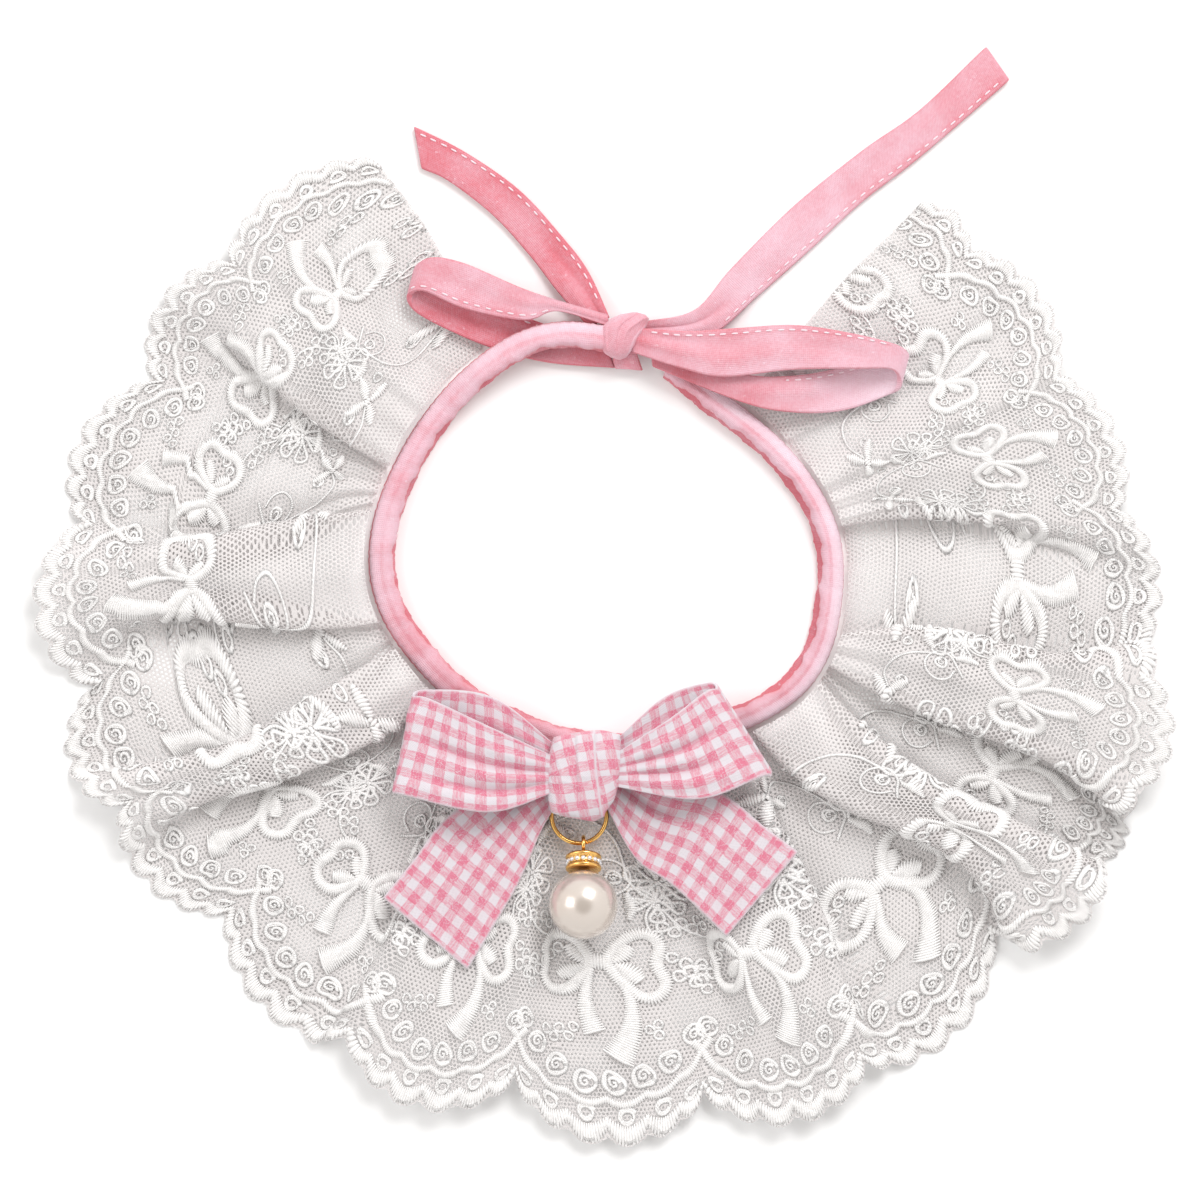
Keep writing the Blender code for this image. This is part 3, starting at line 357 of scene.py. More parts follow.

# Rows of topstitching: the strip, the share across it, and the rows it runs between; then how
# far their painted shade spreads across the tape, the stitches' half width, their thread and
# their height off the tape.
SEAMS = named_rows("strip place start end", [
    ("tie_tail_left", 0.13, 0.4, 4.95), ("tie_tail_right", 0.87, 1.3, 5.95),
    ("tie_loop_left", 0.86, 1.2, 4.7), ("tie_loop_left", 0.12, 6.6, 8.4),
    ("tie_loop_right", 0.11, 0.3, 4.9), ("tie_loop_right", 0.12, 6.4, 9.2),
])
SEAM_SPREAD = 0.06
SEAM_HALF = 0.19
SEAM_THREAD = 0.17
SEAM_LIFT = 0.04

# Knots: where a knot's middle is, its underside and height, and the turn of its cloth. The rows
# give its left and right edge at heights up its face, from its middle.
Knot = namedtuple("Knot", "x y bottom height cloth_turn rows")
BACK_KNOT = Knot(3.2, 41.8, 0.0, 9.0, 25.0, named_rows("y left right", [
    (-4.8, -1.8, 0.4), (-3.4, -4.0, 1.6), (-2.0, -4.6, 2.6), (0.0, -4.7, 3.7), (1.6, -4.5, 4.6),
    (3.4, -2.8, 5.5), (4.7, 0.4, 4.2),
]))
BOW_KNOT = Knot(-4.2, -46.0, 4.3, 8.4, -12.0, named_rows("y left right", [
    (-9.1, -1.0, 3.8), (-7.4, -7.4, 4.3), (-4.8, -7.8, 5.9), (0.0, -7.8, 6.9), (3.8, -7.7, 7.5),
    (7.6, -7.2, 7.5), (9.1, -2.4, 7.3),
]))

# How square a knot is across and up, the share of it that is pressed flat beneath, the share and
# drop of its face under its folded edges, and how much paler than its cloth a white edge is.
KNOT_SQUARENESS = 0.7
KNOT_BULGE = 0.6
KNOT_FOOT = 0.08
KNOT_FACE = 0.94
KNOT_DROP = 0.25
WHITE_TONE = 1.2
# The width over which a folded edge rises, how it fades at its ends, and where it is whitest.
PLEAT_RISE = 0.09
PLEAT_FADE = 0.12
PLEAT_END = 0.35
WHITE_PLACE = 0.12
WHITE_WIDTH = 0.24
# Folded edges on a knot: points along the edge, the height on its left, how far that height
# reaches, and the whiteness of the edge.
PLEAT = "points step reach white"
BACK_PLEATS = named_rows(PLEAT, [
    (((3.4, 4.8), (-0.6, 1.8), (-1.4, -1.2), (-1.2, -4.8)), -0.55, 1.3, 0.0),
    (((1.2, 4.8), (-2.8, 2.2), (-3.3, -0.6), (-3.0, -4.2)), -0.45, 1.1, 0.0),
    (((5.0, 3.8), (1.2, 0.8), (0.4, -1.8), (0.0, -5.0)), -0.5, 1.2, 0.0),
    (((5.6, 3.0), (2.8, 0.2), (1.6, -2.2), (0.6, -5.0)), 0.4, 0.9, 0.3),
])
BOW_PLEATS = named_rows(PLEAT, [
    (((-2.0, 9.6), (-1.8, 5.0), (-1.6, -1.0)), 0.75, 3.0, 0.25),
    (((3.5, -9.4), (2.2, 0.6), (1.9, 5.0), (1.7, 9.4)), 0.85, 3.4, 1.0),
    (((4.0, -7.8), (5.8, -4.8), (7.0, 0.5), (7.4, 3.8), (7.4, 9.2)), -0.3, 0.6, 1.0),
    (((-7.4, -2.0), (-4.6, -1.2), (-1.0, -2.6)), 0.25, 1.2, 0.0),
    (((-6.8, 4.6), (-5.2, 1.0), (-5.4, -5.4)), 0.3, 1.0, 0.0),
])

# Hardware and the pearl drop. The hinge is the ring's wire where the eye hangs on it.
RING_X = -5.6
RING_Y = -54.1
RING_RADIUS = 5.5
RING_WIRE = 0.9
RING_HEIGHT = 3.5
EYE_RADIUS = 1.55
EYE_WIRE = 0.8
CAP_DIAMETER = 7.2
CAP_THICKNESS = 3.2
PEARL_DIAMETER = 13.8
PEARL_REST = 8.4
EYE_PLACE = -0.35
HINGE_SHIFT = 0.9
RING_SIDES = (96, 20)
EYE_SIDES = (48, 16)
CAP_SIDES = 64
PEARL_RINGS = 65
PEARL_SIDES = 96
STONE_COUNT = 16
STONE_RADIUS = 0.56
STONE_INSET = 0.42
# The upper half of the rondelle's rim: how far in from its edge, at what share of its half height.
CAP_RIM = ((1.1, 1.0), (0.35, 1.0), (0.05, 0.86), (0.0, 0.7), (0.1, 0.54), (0.5, 0.5))
CAP_WAIST = 0.55

# One repeat of the embroidery, x from its middle line and y out from the middle of the neck.
# A stitched line has a half width that runs evenly between the values given along it.
LINE = "halves closed points"
SATIN_LINES = named_rows(LINE, [
    ((1.15,), True, ((-1.4, 83.4), (-2.6, 80.5), (-4.1, 78.8), (-6.3, 78.5), (-8.6, 79.8), (-9.6, 82.0),
     (-9.2, 84.0), (-10.2, 86.2), (-10.0, 88.2), (-8.2, 89.6), (-5.9, 89.7), (-3.9, 88.1), (-2.5, 85.9))),
    ((1.15,), True, ((1.4, 82.8), (3.0, 79.9), (4.7, 78.1), (7.1, 77.2), (9.3, 78.3), (9.8, 80.7),
     (9.0, 83.1), (10.1, 85.3), (10.7, 87.7), (9.2, 89.8), (6.9, 90.1), (4.6, 88.3), (2.7, 86.0))),
    ((0.6, 1.3, 1.4, 0.9), False, ((-2.4, 83.6), (-3.6, 82.3), (-4.6, 80.8))),
    ((0.6, 1.3, 1.5, 1.0), False, ((-2.8, 84.6), (-4.6, 85.6), (-6.4, 86.8))),
    ((0.6, 1.2, 1.5, 1.0), False, ((2.6, 83.2), (3.8, 81.8), (5.0, 80.2))),
    ((0.7, 1.6, 1.9, 1.3), False, ((2.8, 83.9), (4.8, 85.0), (6.4, 86.6))),
    ((1.5, 1.75, 1.5), False, ((-1.0, 83.4), (-0.1, 83.4), (0.9, 83.4))),
    ((0.55, 0.9, 1.4, 2.0), False, ((-1.3, 85.2), (-2.2, 88.6), (-2.6, 92.6), (-1.4, 97.2))),
    ((0.5, 0.8, 1.2, 2.0, 3.0), False, ((2.4, 85.6), (4.2, 88.6), (5.1, 92.4), (4.8, 97.0), (2.6, 102.0))),
    ((0.7, 1.35, 0.6), False, ((-8.0, 56.8), (-6.2, 58.2), (-4.8, 59.8))),
    ((0.7, 1.35, 0.6), False, ((-9.2, 57.0), (-10.6, 58.4), (-11.6, 60.2))),
    ((0.7, 1.35, 0.6), False, ((-8.0, 55.2), (-6.6, 53.8), (-5.4, 52.8))),
    ((0.7, 1.35, 0.6), False, ((-9.4, 55.4), (-11.2, 54.6), (-12.8, 54.2))),
    ((0.8, 0.95, 0.8), False, ((-9.1, 56.1), (-8.6, 56.1), (-8.1, 56.1))),
    ((0.5, 1.2, 0.5), False, ((6.2, 64.2), (8.0, 62.6), (10.4, 62.2))),
    ((0.5, 1.2, 0.5), False, ((4.8, 69.6), (5.6, 72.0), (5.2, 74.4))),
])
CORD_LINES = named_rows(LINE, [
    ((0.42,), False, ((-9.4, 57.6), (-12.2, 61.2), (-13.4, 65.6))),
    ((0.40,), False, ((-7.6, 56.0), (-3.6, 54.6), (0.8, 56.2), (3.4, 59.4), (4.6, 63.6))),
    ((0.42,), False, ((4.6, 63.6), (5.2, 66.8), (7.4, 69.4), (9.6, 70.6))),
    ((0.36,), False, ((1.6, 69.6), (-0.8, 68.4), (-1.6, 65.8), (0.2, 63.4), (3.0, 63.0), (5.4, 65.0),
     (5.2, 68.0), (3.0, 69.8), (0.4, 71.6))),
    ((0.38,), False, ((-14.6, 69.4), (-17.4, 71.6), (-18.2, 74.4), (-17.6, 76.2))),
    ((0.36,), False, ((10.6, 72.6), (13.4, 76.0), (17.0, 77.4), (20.6, 76.4))),
])
# Rings of cord: where each is, how big, and whether a spiral fills it.
RINGS = named_rows("x y radius half filled", [
    (-15.6, 95.6, 1.85, 0.46, True), (-12.9, 100.2, 1.95, 0.48, True), (-8.9, 104.1, 2.0, 0.50, True),
    (-3.7, 106.6, 2.05, 0.52, True), (1.6, 106.9, 2.05, 0.52, True), (7.0, 105.3, 2.0, 0.50, True),
    (11.7, 102.0, 1.95, 0.48, True), (15.6, 96.6, 1.85, 0.46, True), (14.4, 84.6, 1.1, 0.40, False),
    (16.2, 86.4, 1.05, 0.38, False), (16.2, 83.2, 1.0, 0.40, False), (18.0, 84.8, 1.05, 0.38, False),
    (19.2, 82.6, 1.0, 0.38, False), (20.6, 80.6, 0.95, 0.36, False), (18.6, 80.4, 0.9, 0.36, False),
    (21.6, 78.6, 0.9, 0.34, False), (-17.0, 84.8, 1.05, 0.40, False), (-15.2, 82.8, 1.0, 0.40, False),
    (-13.4, 84.8, 1.0, 0.38, False), (-15.0, 86.8, 0.95, 0.38, False), (-16.8, 81.0, 0.95, 0.38, False),
    (-13.6, 88.6, 0.9, 0.36, False), (-17.6, 76.2, 1.0, 0.34, False), (-16.0, 74.8, 1.0, 0.34, False),
    (-14.6, 76.4, 1.0, 0.34, False), (-13.0, 75.0, 1.0, 0.34, False), (-11.6, 76.6, 1.0, 0.34, False),
    (-10.0, 75.2, 0.95, 0.34, False), (-8.6, 76.6, 0.9, 0.32, False), (-10.4, 97.4, 0.95, 0.34, False),
    (-8.8, 98.8, 0.9, 0.34, False), (-7.6, 97.2, 0.9, 0.34, False), (-6.0, 98.6, 0.85, 0.32, False),
    (-5.0, 96.6, 0.85, 0.32, False), (8.0, 96.2, 0.8, 0.32, False), (9.6, 97.0, 0.85, 0.32, False),
    (9.4, 95.0, 0.8, 0.32, False), (2.8, 66.4, 1.3, 0.40, True), (-4.6, 58.6, 1.2, 0.38, True),
    (6.6, 58.2, 1.0, 0.34, False),
])
# Each round of a ring's cord, as a share of its radius and half width, with its wave; then where
# the spiral starts, how far it turns, its radii and its half widths.
RING_ROUNDS = ((1.0, 1.0, 0.05), (0.86, 0.6, 0.16))
SPIRAL_START = 0.4
SPIRAL_TURN = 2.8 * math.pi
SPIRAL_RADII = (0.60, 0.06)
SPIRAL_HALVES = (0.95, 0.75)
# Looped flowers: the middle, the petals' length, their number and the first one's turn.
FLOWERS = named_rows("x y length petals turn", [
    (-13.4, 66.4, 4.9, 6, 18.0), (9.8, 70.6, 3.8, 5, 50.0),
])
# A petal: where it starts, its width as a share of its length, and its cord's half width. Then the
# loop inside it, as shares of its length and width, and its cord; and the filled middle.
PETAL_START = 0.6
PETAL_WIDTH = 0.36
PETAL_HALF = 0.46
INNER_REACH = 0.66
INNER_WIDTH = 0.42
INNER_HALF = 0.32
MIDDLE_REACH = 0.5
MIDDLE_HALF = 0.7
# The smooth cord inside the hem, from one valley to the next.
INNER_LINES = named_rows(LINE, [((0.75,), False, (
    (-18.6, 97.6), (-17.5, 99.4), (-16.0, 102.8), (-13.4, 105.9), (-10.0, 108.4), (-5.6, 110.0),
    (-0.6, 110.7), (4.0, 110.3), (8.6, 108.6), (12.6, 106.2), (15.6, 103.0), (17.4, 99.6),
    (18.6, 97.4)))])
# The hem's cord: its half widths, how far in it lies and how far it dips at a notch; then the
# scribbled loops inside it: their half widths, radii, place, stagger and flatness.
HEM_HALVES = (0.75, 1.10, 1.20, 1.10, 0.75)
HEM_INSET = 1.1
HEM_DIP = 0.7
LOOP_HALVES = (0.36, 0.30)
LOOP_RADII = (1.65, 0.95)
LOOP_INSET = 3.35
LOOP_STAGGER = 0.12
LOOP_FLATNESS = 0.62
# The round that one repeat is drawn on: its neck line, its scallop and its turn.
NOMINAL_NECK = 43.6
NOMINAL_LOBE = 9.2
NOMINAL_TURN = 105.6

# Each style of stitching: its step as a share of the set one, its sides and its unevenness. Satin's
# thread is a share of the set step, padding a share of the width over it, and all lie just off the net.
STYLES = {"satin": (1.0, 4, 0.08), "padding": (2.0, 6, 0.16), "cord": (1.4, 4, 0.16)}
SATIN_THREAD = 0.68
PADDING_SHARE = 0.8
STITCH_LIFT = 0.12

# The stage, in metres: soft lights with their place, side and power, the floor and the camera.
LIGHTS = {"window": ((0.34, 0.66, 0.80), 0.5, 7.4), "fill": ((-0.7, 0.1, 0.7), 0.5, 2.0)}
FLOOR_REACH = 1.5
CAMERA_PLACE = (-0.0007, -0.0011)
CAMERA_RISE = 0.003
SENSOR_WIDTH = 36.0

# Points nearer than this, in metres, are one; then the order of a face's corners turned over.
MERGE_REACH = 1e-6
TURNED_OVER = (0, 3, 2, 1)


# ---------------- settings

def colour_setting(label, about, *display):
    """A colour to choose, from its display values of 0 to 255; materials take it as linear."""
    shares = [value / 255.0 for value in display]
    linear = [s / 12.92 if s <= 0.04045 else ((s + 0.055) / 1.055) ** 2.4 for s in shares]
    return bpy.props.FloatVectorProperty(
        name=label, description=about, default=linear, size=3, min=0.0, max=1.0, subtype="COLOR")


def length_setting(label, about, default):
    return bpy.props.FloatProperty(
        name=label, description=about, default=default, min=0.0, subtype="DISTANCE", unit="LENGTH")


class LaceSettings(bpy.types.PropertyGroup):
    white: colour_setting("Net", "Colour of the net's threads", 218, 213, 212)
    thread: colour_setting("Thread", "Colour of the satin stitching", 232, 230, 229)
    pitch: length_setting("Net pitch", "Distance between neighbouring holes of the net", 0.00090)
    hole: length_setting("Net hole", "Radius of one hole of the net", 0.00029)
    relief: length_setting("Relief", "Height that wide satin stitching rises to", 0.0009)
    step: length_setting("Stitch step", "Distance between points along the stitching", 0.00045)


class TapeSettings(bpy.types.PropertyGroup):
    pink: colour_setting("Pink", "Main colour of the cotton tape", 218, 174, 187)
    # The deep pink colours the tape's darker patches and its painted shade; the pale pink colours its pale
    # flecks, the painted sheen on its upper facet and painted light on shaded rows, not wear.
    deep: colour_setting("Deep pink", "Colour of the tape's darker patches", 205, 108, 120)
    pale: colour_setting("Pale pink", "Colour of the worn upper facet", 229, 206, 217)
    stitch: colour_setting("Topstitch", "Colour of the topstitching", 233, 211, 218)
    pitch: length_setting("Stitch pitch", "Distance from one topstitch to the next", 0.0023)
    length: length_setting("Stitch length", "Length of one topstitch", 0.00155)


class BowSettings(bpy.types.PropertyGroup):
    deep: colour_setting("Deep check", "Squares where both threads are pink", 209, 113, 137)
    white: colour_setting("White check", "Squares where both threads are white", 212, 205, 211)
    check: length_setting("Check", "Width of one square of the gingham", 0.002)


class DropSettings(bpy.types.PropertyGroup):
    gold: colour_setting("Gold", "Colour of the ring, eye and rims", 248, 198, 118)
    pearl: colour_setting("Pearl", "Colour of the pearl", 212, 202, 193)
    stones: bpy.props.IntProperty(
        name="Stones", description="Number of clear stones round the rondelle", default=STONE_COUNT, min=3)


class StageSettings(bpy.types.PropertyGroup):
    floor: colour_setting("Floor", "Colour of the floor", 243, 243, 243)
    lens: bpy.props.FloatProperty(
        name="Lens", description="Focal length of the camera", default=180.0, min=10.0,
        subtype="DISTANCE_CAMERA", unit="CAMERA")
    view_width: length_setting("View width", "Width of surface that the camera sees", 0.240)
    room: bpy.props.FloatProperty(
        name="Room light", description="Strength of the light from all round", default=1.02, min=0.0)


# ---------------- node helpers

class Value:
    """One output of a node. Sums of values add the math nodes that work them out."""

    def __init__(self, socket):
        self.socket = socket
        self.tree = socket.id_data

    def __getitem__(self, output):
        """Another output of the same node."""
        return Value(self.socket.node.outputs[output])

    def __add__(self, other):
        return calc("ADD", self, other)

    def __sub__(self, other):
        return calc("SUBTRACT", self, other)

    def __rsub__(self, other):
        return calc("SUBTRACT", other, self)

    def __mul__(self, other):
        return calc("MULTIPLY", self, other)

    def __truediv__(self, other):
        return calc("DIVIDE", self, other)

    def __rtruediv__(self, other):
        return calc("DIVIDE", other, self)

    def __abs__(self):
        return calc("ABSOLUTE", self)


def feed(node, feeds):
    """Links or sets a node's inputs by name or number."""
    for key, value in feeds.items():
        if isinstance(value, Value):
            value.tree.links.new(value.socket, node.inputs[key])
        else:
            node.inputs[key].default_value = value


def put(tree, kind, feeds=None, **settings):
    """The first output of a new node with its settings and its inputs."""
    node = tree.nodes.new(kind)
    for name, value in settings.items():
        setattr(node, name, value)
    feed(node, feeds or {})
    return Value(node.outputs[0])


def tree_of(values):
    return next(value.tree for value in values if isinstance(value, Value))


def calc(operation, *values):
    return put(tree_of(values), "ShaderNodeMath", dict(enumerate(values)), operation=operation)


def vector_calc(operation, *values):
    node = put(tree_of(values), "ShaderNodeVectorMath", dict(enumerate(values)), operation=operation)
    return node["Value" if operation == "LENGTH" else "Vector"]


def scaled(vector, factor):
    return put(vector.tree, "ShaderNodeVectorMath", {0: vector, "Scale": factor}, operation="SCALE")


def parts_of(vector):
    """A vector's x, y and z."""
    node = put(vector.tree, "ShaderNodeSeparateXYZ", {0: vector})
    return node[0], node[1], node[2]


def vector_of(tree, *parts):
    return put(tree, "ShaderNodeCombineXYZ", dict(enumerate(parts)))


def ramp(value, low, high, out_low=0.0, out_high=1.0, smooth=True):
    """The value carried from one range on to another, held at both ends."""
    return put(value.tree, "ShaderNodeMapRange", {0: value, 1: low, 2: high, 3: out_low, 4: out_high},
               interpolation_type="SMOOTHSTEP" if smooth else "LINEAR")


def blend(share, first, second):
    """A colour that goes from the first to the second by a share. A plain colour is opaque."""
    first, second = (c if isinstance(c, Value) else (*c, 1.0) for c in (first, second))
    return put(share.tree, "ShaderNodeMix", {0: share, 6: first, 7: second}, data_type="RGBA")[2]


def tint(shade, *shares):
    """A colour with all of it, or each of its parts, at a share."""
    return tuple(part * share for part, share in zip(shade, shares * 3))


def noise(place, scale, detail=2.0, roughness=0.5):
    return put(place.tree, "ShaderNodeTexNoise",
               {"Vector": place, "Scale": scale, "Detail": detail, "Roughness": roughness})


def bump(height, strength, distance):
    return put(height.tree, "ShaderNodeBump",
               {"Strength": strength, "Distance": distance, "Height": height})


def own_place(tree):
    return put(tree, "ShaderNodeTexCoord")["Object"]


def map_place(tree, name):
    return put(tree, "ShaderNodeUVMap", uv_map=name)


def point_value(tree, name):
    return put(tree, "ShaderNodeAttribute", attribute_name=name)["Fac"]


def node_tree(kind, inputs, outputs):
    """Turns a function that adds a tree's nodes into one that gives the tree, made once.

    An input is given by its kind, or by the number that it starts from. The function takes the
    tree's inputs and returns a value for each output.
    """
    def wrap(build):
        def made():
            if build.__name__ in bpy.data.node_groups:
                return bpy.data.node_groups[build.__name__]
            tree = bpy.data.node_groups.new(build.__name__, kind)
            sockets = tree.interface.new_socket
            for name, start in inputs.items():
                if isinstance(start, str):
                    sockets(name, in_out="INPUT", socket_type="NodeSocket" + start)
                else:
                    number = "NodeSocket" + type(start).__name__.title()
                    sockets(name, in_out="INPUT", socket_type=number).default_value = start
            for name, sort in outputs.items():
                sockets(name, in_out="OUTPUT", socket_type="NodeSocket" + sort)
            given = Value(tree.nodes.new("NodeGroupInput").outputs[0])
            feed(tree.nodes.new("NodeGroupOutput"), dict(zip(outputs, build(given))))
            return tree
        return made
    return wrap


# ---------------- shader groups

def shader_tree(inputs, *outputs):
    return node_tree("ShaderNodeTree", inputs, dict.fromkeys(outputs, "Float"))


def grouped(group, **feeds):
    """A node group with its inputs fed by name."""
    return put(tree_of(feeds.values()), "ShaderNodeGroup", feeds, node_tree=group())


@shader_tree({"Place": "Vector", "Scale": 100.0}, "Cloud", "Grain")
def mottle(given):
    """Cloudy patches with a finer grain over them, from 0 to 1."""
    cloud = noise(given["Place"], given["Scale"], 3.0, 0.55)
    grain = noise(given["Place"], given["Scale"] * 14.0)
    return ramp(cloud, 0.32, 0.68), ramp(grain, 0.3, 0.7)


@shader_tree({"Map": "Vector", "Thread": 0.0003}, "Height", "Slub")
def weave(given):
    """Fine crossing threads on a cloth's own map, with a slub here and there."""
    over, under, _ = parts_of(scaled(given["Map"], 2.0 * math.pi / given["Thread"]))
    slub = noise(given["Map"], 1400.0)
    return calc("SINE", over) * calc("SINE", under) + slub * 1.6, ramp(slub, 0.35, 0.65)


@shader_tree({"Along": 0.0, "Place": "Vector", "Thread": 0.0005}, "Height", "Gap")
def stitch_ridges(given):
    """Ridges of the single threads across a stitched line, from its length along the line."""
    moved = given["Along"] + noise(given["Place"], 700.0) * 0.0006
    wave = calc("SINE", moved / given["Thread"] * (2.0 * math.pi))
    height = wave * ramp(noise(given["Place"], 260.0, 1.0), 0.3, 0.7, 0.35, 1.0)
    return height, ramp(height, -1.0, -0.35, 1.0, 0.0)


# ---------------- materials

def new_material(name):
    """A new material and its tree."""
    material = bpy.data.materials.new(name)
    material.use_nodes = True
    return material, material.node_tree


def dressed(material, **feeds):
    """The material with its shader's sockets linked or set; an underscore stands for a space."""
    shader = material.node_tree.nodes["Principled BSDF"]
    feed(shader, {name.replace("_", " "): value for name, value in feeds.items()})
    return material


def net_material(look):
    """Fine white net: round holes on a triangular lattice, cut out of the sheet."""
    material, tree = new_material("lace_net")
    flat = map_place(tree, "net")
    drift = vector_calc("SUBTRACT", noise(flat, 260.0, 1.0)["Color"], (0.5, 0.5, 0.5))
    moved = vector_calc("ADD", flat, scaled(drift, 0.0007))
    half = (look.pitch / 2.0, look.pitch * math.sqrt(3.0) / 2.0, 0.5)
    low = tuple(-side for side in half)
    level = (1.0, 1.0, 0.0)
    near = vector_calc("MULTIPLY", moved, level)
    shifted = vector_calc("MULTIPLY", vector_calc("ADD", near, half), level)
    away = [vector_calc("LENGTH", vector_calc("WRAP", place, half, low)) for place in (near, shifted)]
    size = ramp(noise(flat, 70.0), 0.3, 0.7, look.hole * 0.7, look.hole * 1.15)
    rim = calc("MINIMUM", *away) - size
    cloud = grouped(mottle, Place=flat, Scale=60.0)["Cloud"]
    return dressed(
        material, Base_Color=blend(cloud, tint(look.white, 0.93), look.white), Roughness=0.75,
        Alpha=ramp(rim, -0.00006, 0.00006, 0.12, 0.88), Normal=bump(ramp(rim, 0.0, 0.0003), 0.5, 0.0001))


def sewn_material(name, shade, dark, gap_shade, thread, relief, **feeds):
    """Thread that is ridged stitch by stitch, with painted shade in a share of the hollows between its
    ridges.
    """
    material, tree = new_material(name)
    ridges = grouped(stitch_ridges, Along=point_value(tree, "along"), Place=own_place(tree), Thread=thread)
    return dressed(material, Base_Color=blend(ridges["Gap"] * gap_shade, shade, tint(shade, dark)),
                   Normal=bump(ridges["Height"], *relief), **feeds)


def thread_material(look):
    """Rayon embroidery thread with a soft shine."""
    return sewn_material("satin_thread", look.thread, 0.72, 0.35, 0.00052, (0.6, 0.00012),
                         Roughness=0.42, Sheen_Weight=0.25)


def topstitch_material(look):
    return sewn_material("topstitch", look.stitch, 0.8, 1.0, 0.0004, (0.4, 0.00005), Roughness=0.6)


def tape_material(look):
    """Pink cotton tape: cloudy colour, deeper at its edges, with painted shade and painted sheen from its
    tone.
    """
    if "pink_cotton" in bpy.data.materials:
        return bpy.data.materials["pink_cotton"]
    material, tree = new_material("pink_cotton")
    place = own_place(tree)
    cloud = grouped(mottle, Place=place, Scale=95.0)["Cloud"]
    bias = put(tree, "ShaderNodeMapping",
               {"Vector": map_place(tree, "cloth"), "Rotation": (0.0, 0.0, math.pi / 4.0)})
    threads = grouped(weave, Map=bias, Thread=0.00056)
    # The tone holds the tape's own patches, with painted shade above 0 and painted sheen and light below 0.
    depth = point_value(tree, "tone") + (threads["Height"] - 0.8) * -0.13
    depth = depth + ((cloud - 0.5) * 0.42 + (threads["Slub"] - 0.5) * 0.22)
    base = blend(ramp(depth, 0.0, 1.0, smooth=False), look.pink, look.deep)
    base = blend(ramp(depth, 0.0, -1.0, smooth=False), base, look.pale)
    flecks = ramp(noise(place, 900.0, 3.0, 0.7), 0.62, 0.74) * 0.5
    return dressed(material, Base_Color=blend(flecks, base, look.pale), Roughness=0.8, Sheen_Weight=0.2,
                   Sheen_Roughness=0.5, Normal=bump(threads["Height"], 0.45, 0.00012))


def check_stripe(place, width):
    """1 on the pink stripes and 0 on the white ones, then 1 on the lines between them."""
    side = abs(calc("FRACT", place / (2.0 * width)) - 0.5)
    return ramp(side, 0.25, 0.28, 1.0, 0.0), ramp(abs(side - 0.265), 0.0, 0.03, 1.0, 0.0)


def gingham_material(look):
    """Woven gingham: pink and white stripes cross, and the half tones show single threads."""
    material, tree = new_material("gingham")
    cloth = map_place(tree, "cloth")
    across, along, _ = parts_of(cloth)
    wobble = (noise(cloth, 420.0, 3.0) - 0.5) * 0.0007
    warp, warp_line = check_stripe(across + wobble, look.check)
    weft, weft_line = check_stripe(along + wobble, look.check)
    streaks = [ramp(noise(vector_calc("MULTIPLY", cloth, stretch), 1.0), 0.42, 0.58)
               for stretch in ((3600.0, 420.0, 1.0), (420.0, 3600.0, 1.0))]
    half = warp * (1.0 - weft) * ramp(streaks[0], 0.0, 1.0, 0.36, 0.68)
    half = half + weft * (1.0 - warp) * ramp(streaks[1], 0.0, 1.0, 0.36, 0.68)
    pink = half + warp * weft * ramp(streaks[0], 0.0, 1.0, 1.0, 0.88)
    crumple = noise(cloth, 1500.0, 4.0, 0.7)
    lines = calc("MAXIMUM", warp_line, weft_line) * ramp(crumple, 0.45, 0.62)
    pink = pink * (1.0 - lines * 0.6)
    pink = pink * ramp(abs(noise(cloth, 760.0, 2.0, 0.6) - 0.5), 0.0, 0.022, 0.35, 1.0)
    tone = point_value(tree, "tone")
    pink = pink * ramp(tone, 0.0, -1.0, 1.0, 0.1, smooth=False)
    # Painted shade: where the troughs of creases raise the tone above 0, the cloth turns towards a darker
    # deep pink.
    folded = ramp(tone, 0.0, 1.0, smooth=False) * 0.7
    shade = blend(folded, blend(pink, look.white, look.deep), tint(look.deep, 0.9))
    relief = grouped(weave, Map=cloth, Thread=0.0004)["Height"] + crumple * 2.5
    return dressed(material, Base_Color=shade, Roughness=0.72, Sheen_Weight=0.25,
                   Normal=bump(relief, 0.5, 0.0001))


def mottled(name, scale, shade, share, *dark):
    """A new material, its colour mottled with a darker one, and its grain."""
    material, tree = new_material(name)
    patches = grouped(mottle, Place=own_place(tree), Scale=scale)
    return material, blend(patches["Cloud"] * share, shade, tint(shade, *dark)), patches["Grain"]


def gold_material(look):
    """Plated wire: a warm gold with faint wear and drawing lines."""
    material, shade, grain = mottled("gold_plate", 420.0, look.gold, 0.25, 0.88, 0.72, 0.5)
    return dressed(material, Base_Color=shade, Roughness=ramp(grain, 0.0, 1.0, 0.16, 0.24), Metallic=1.0,
                   Normal=bump(grain, 0.12, 0.000006))


def stone_material():
    """Clear cut stones in a bright setting, their colour in white and grey cells that paint the glints and
    dark reflections of their facets.
    """
    material, tree = new_material("clear_stones")
    cells = put(tree, "ShaderNodeTexVoronoi", {"Vector": own_place(tree), "Scale": 1500.0})["Distance"]
    return dressed(material, Base_Color=blend(cells, (0.92, 0.93, 0.95), (0.55, 0.56, 0.6)),
                   Roughness=0.08, Metallic=0.35, Coat_Weight=1.0, Coat_Roughness=0.03)


def pearl_material(look):
    """Coated bead: a deep soft lustre, a shade pinker and darker in cloudy bands."""
    material, shade, grain = mottled("pearl_coat", 90.0, look.pearl, 0.5, 0.97, 0.9, 0.86)
    return dressed(material, Base_Color=shade, Roughness=0.24, Metallic=0.5, Coat_Weight=1.0,
                   Coat_Roughness=0.06, Normal=bump(grain, 0.03, 0.0001))


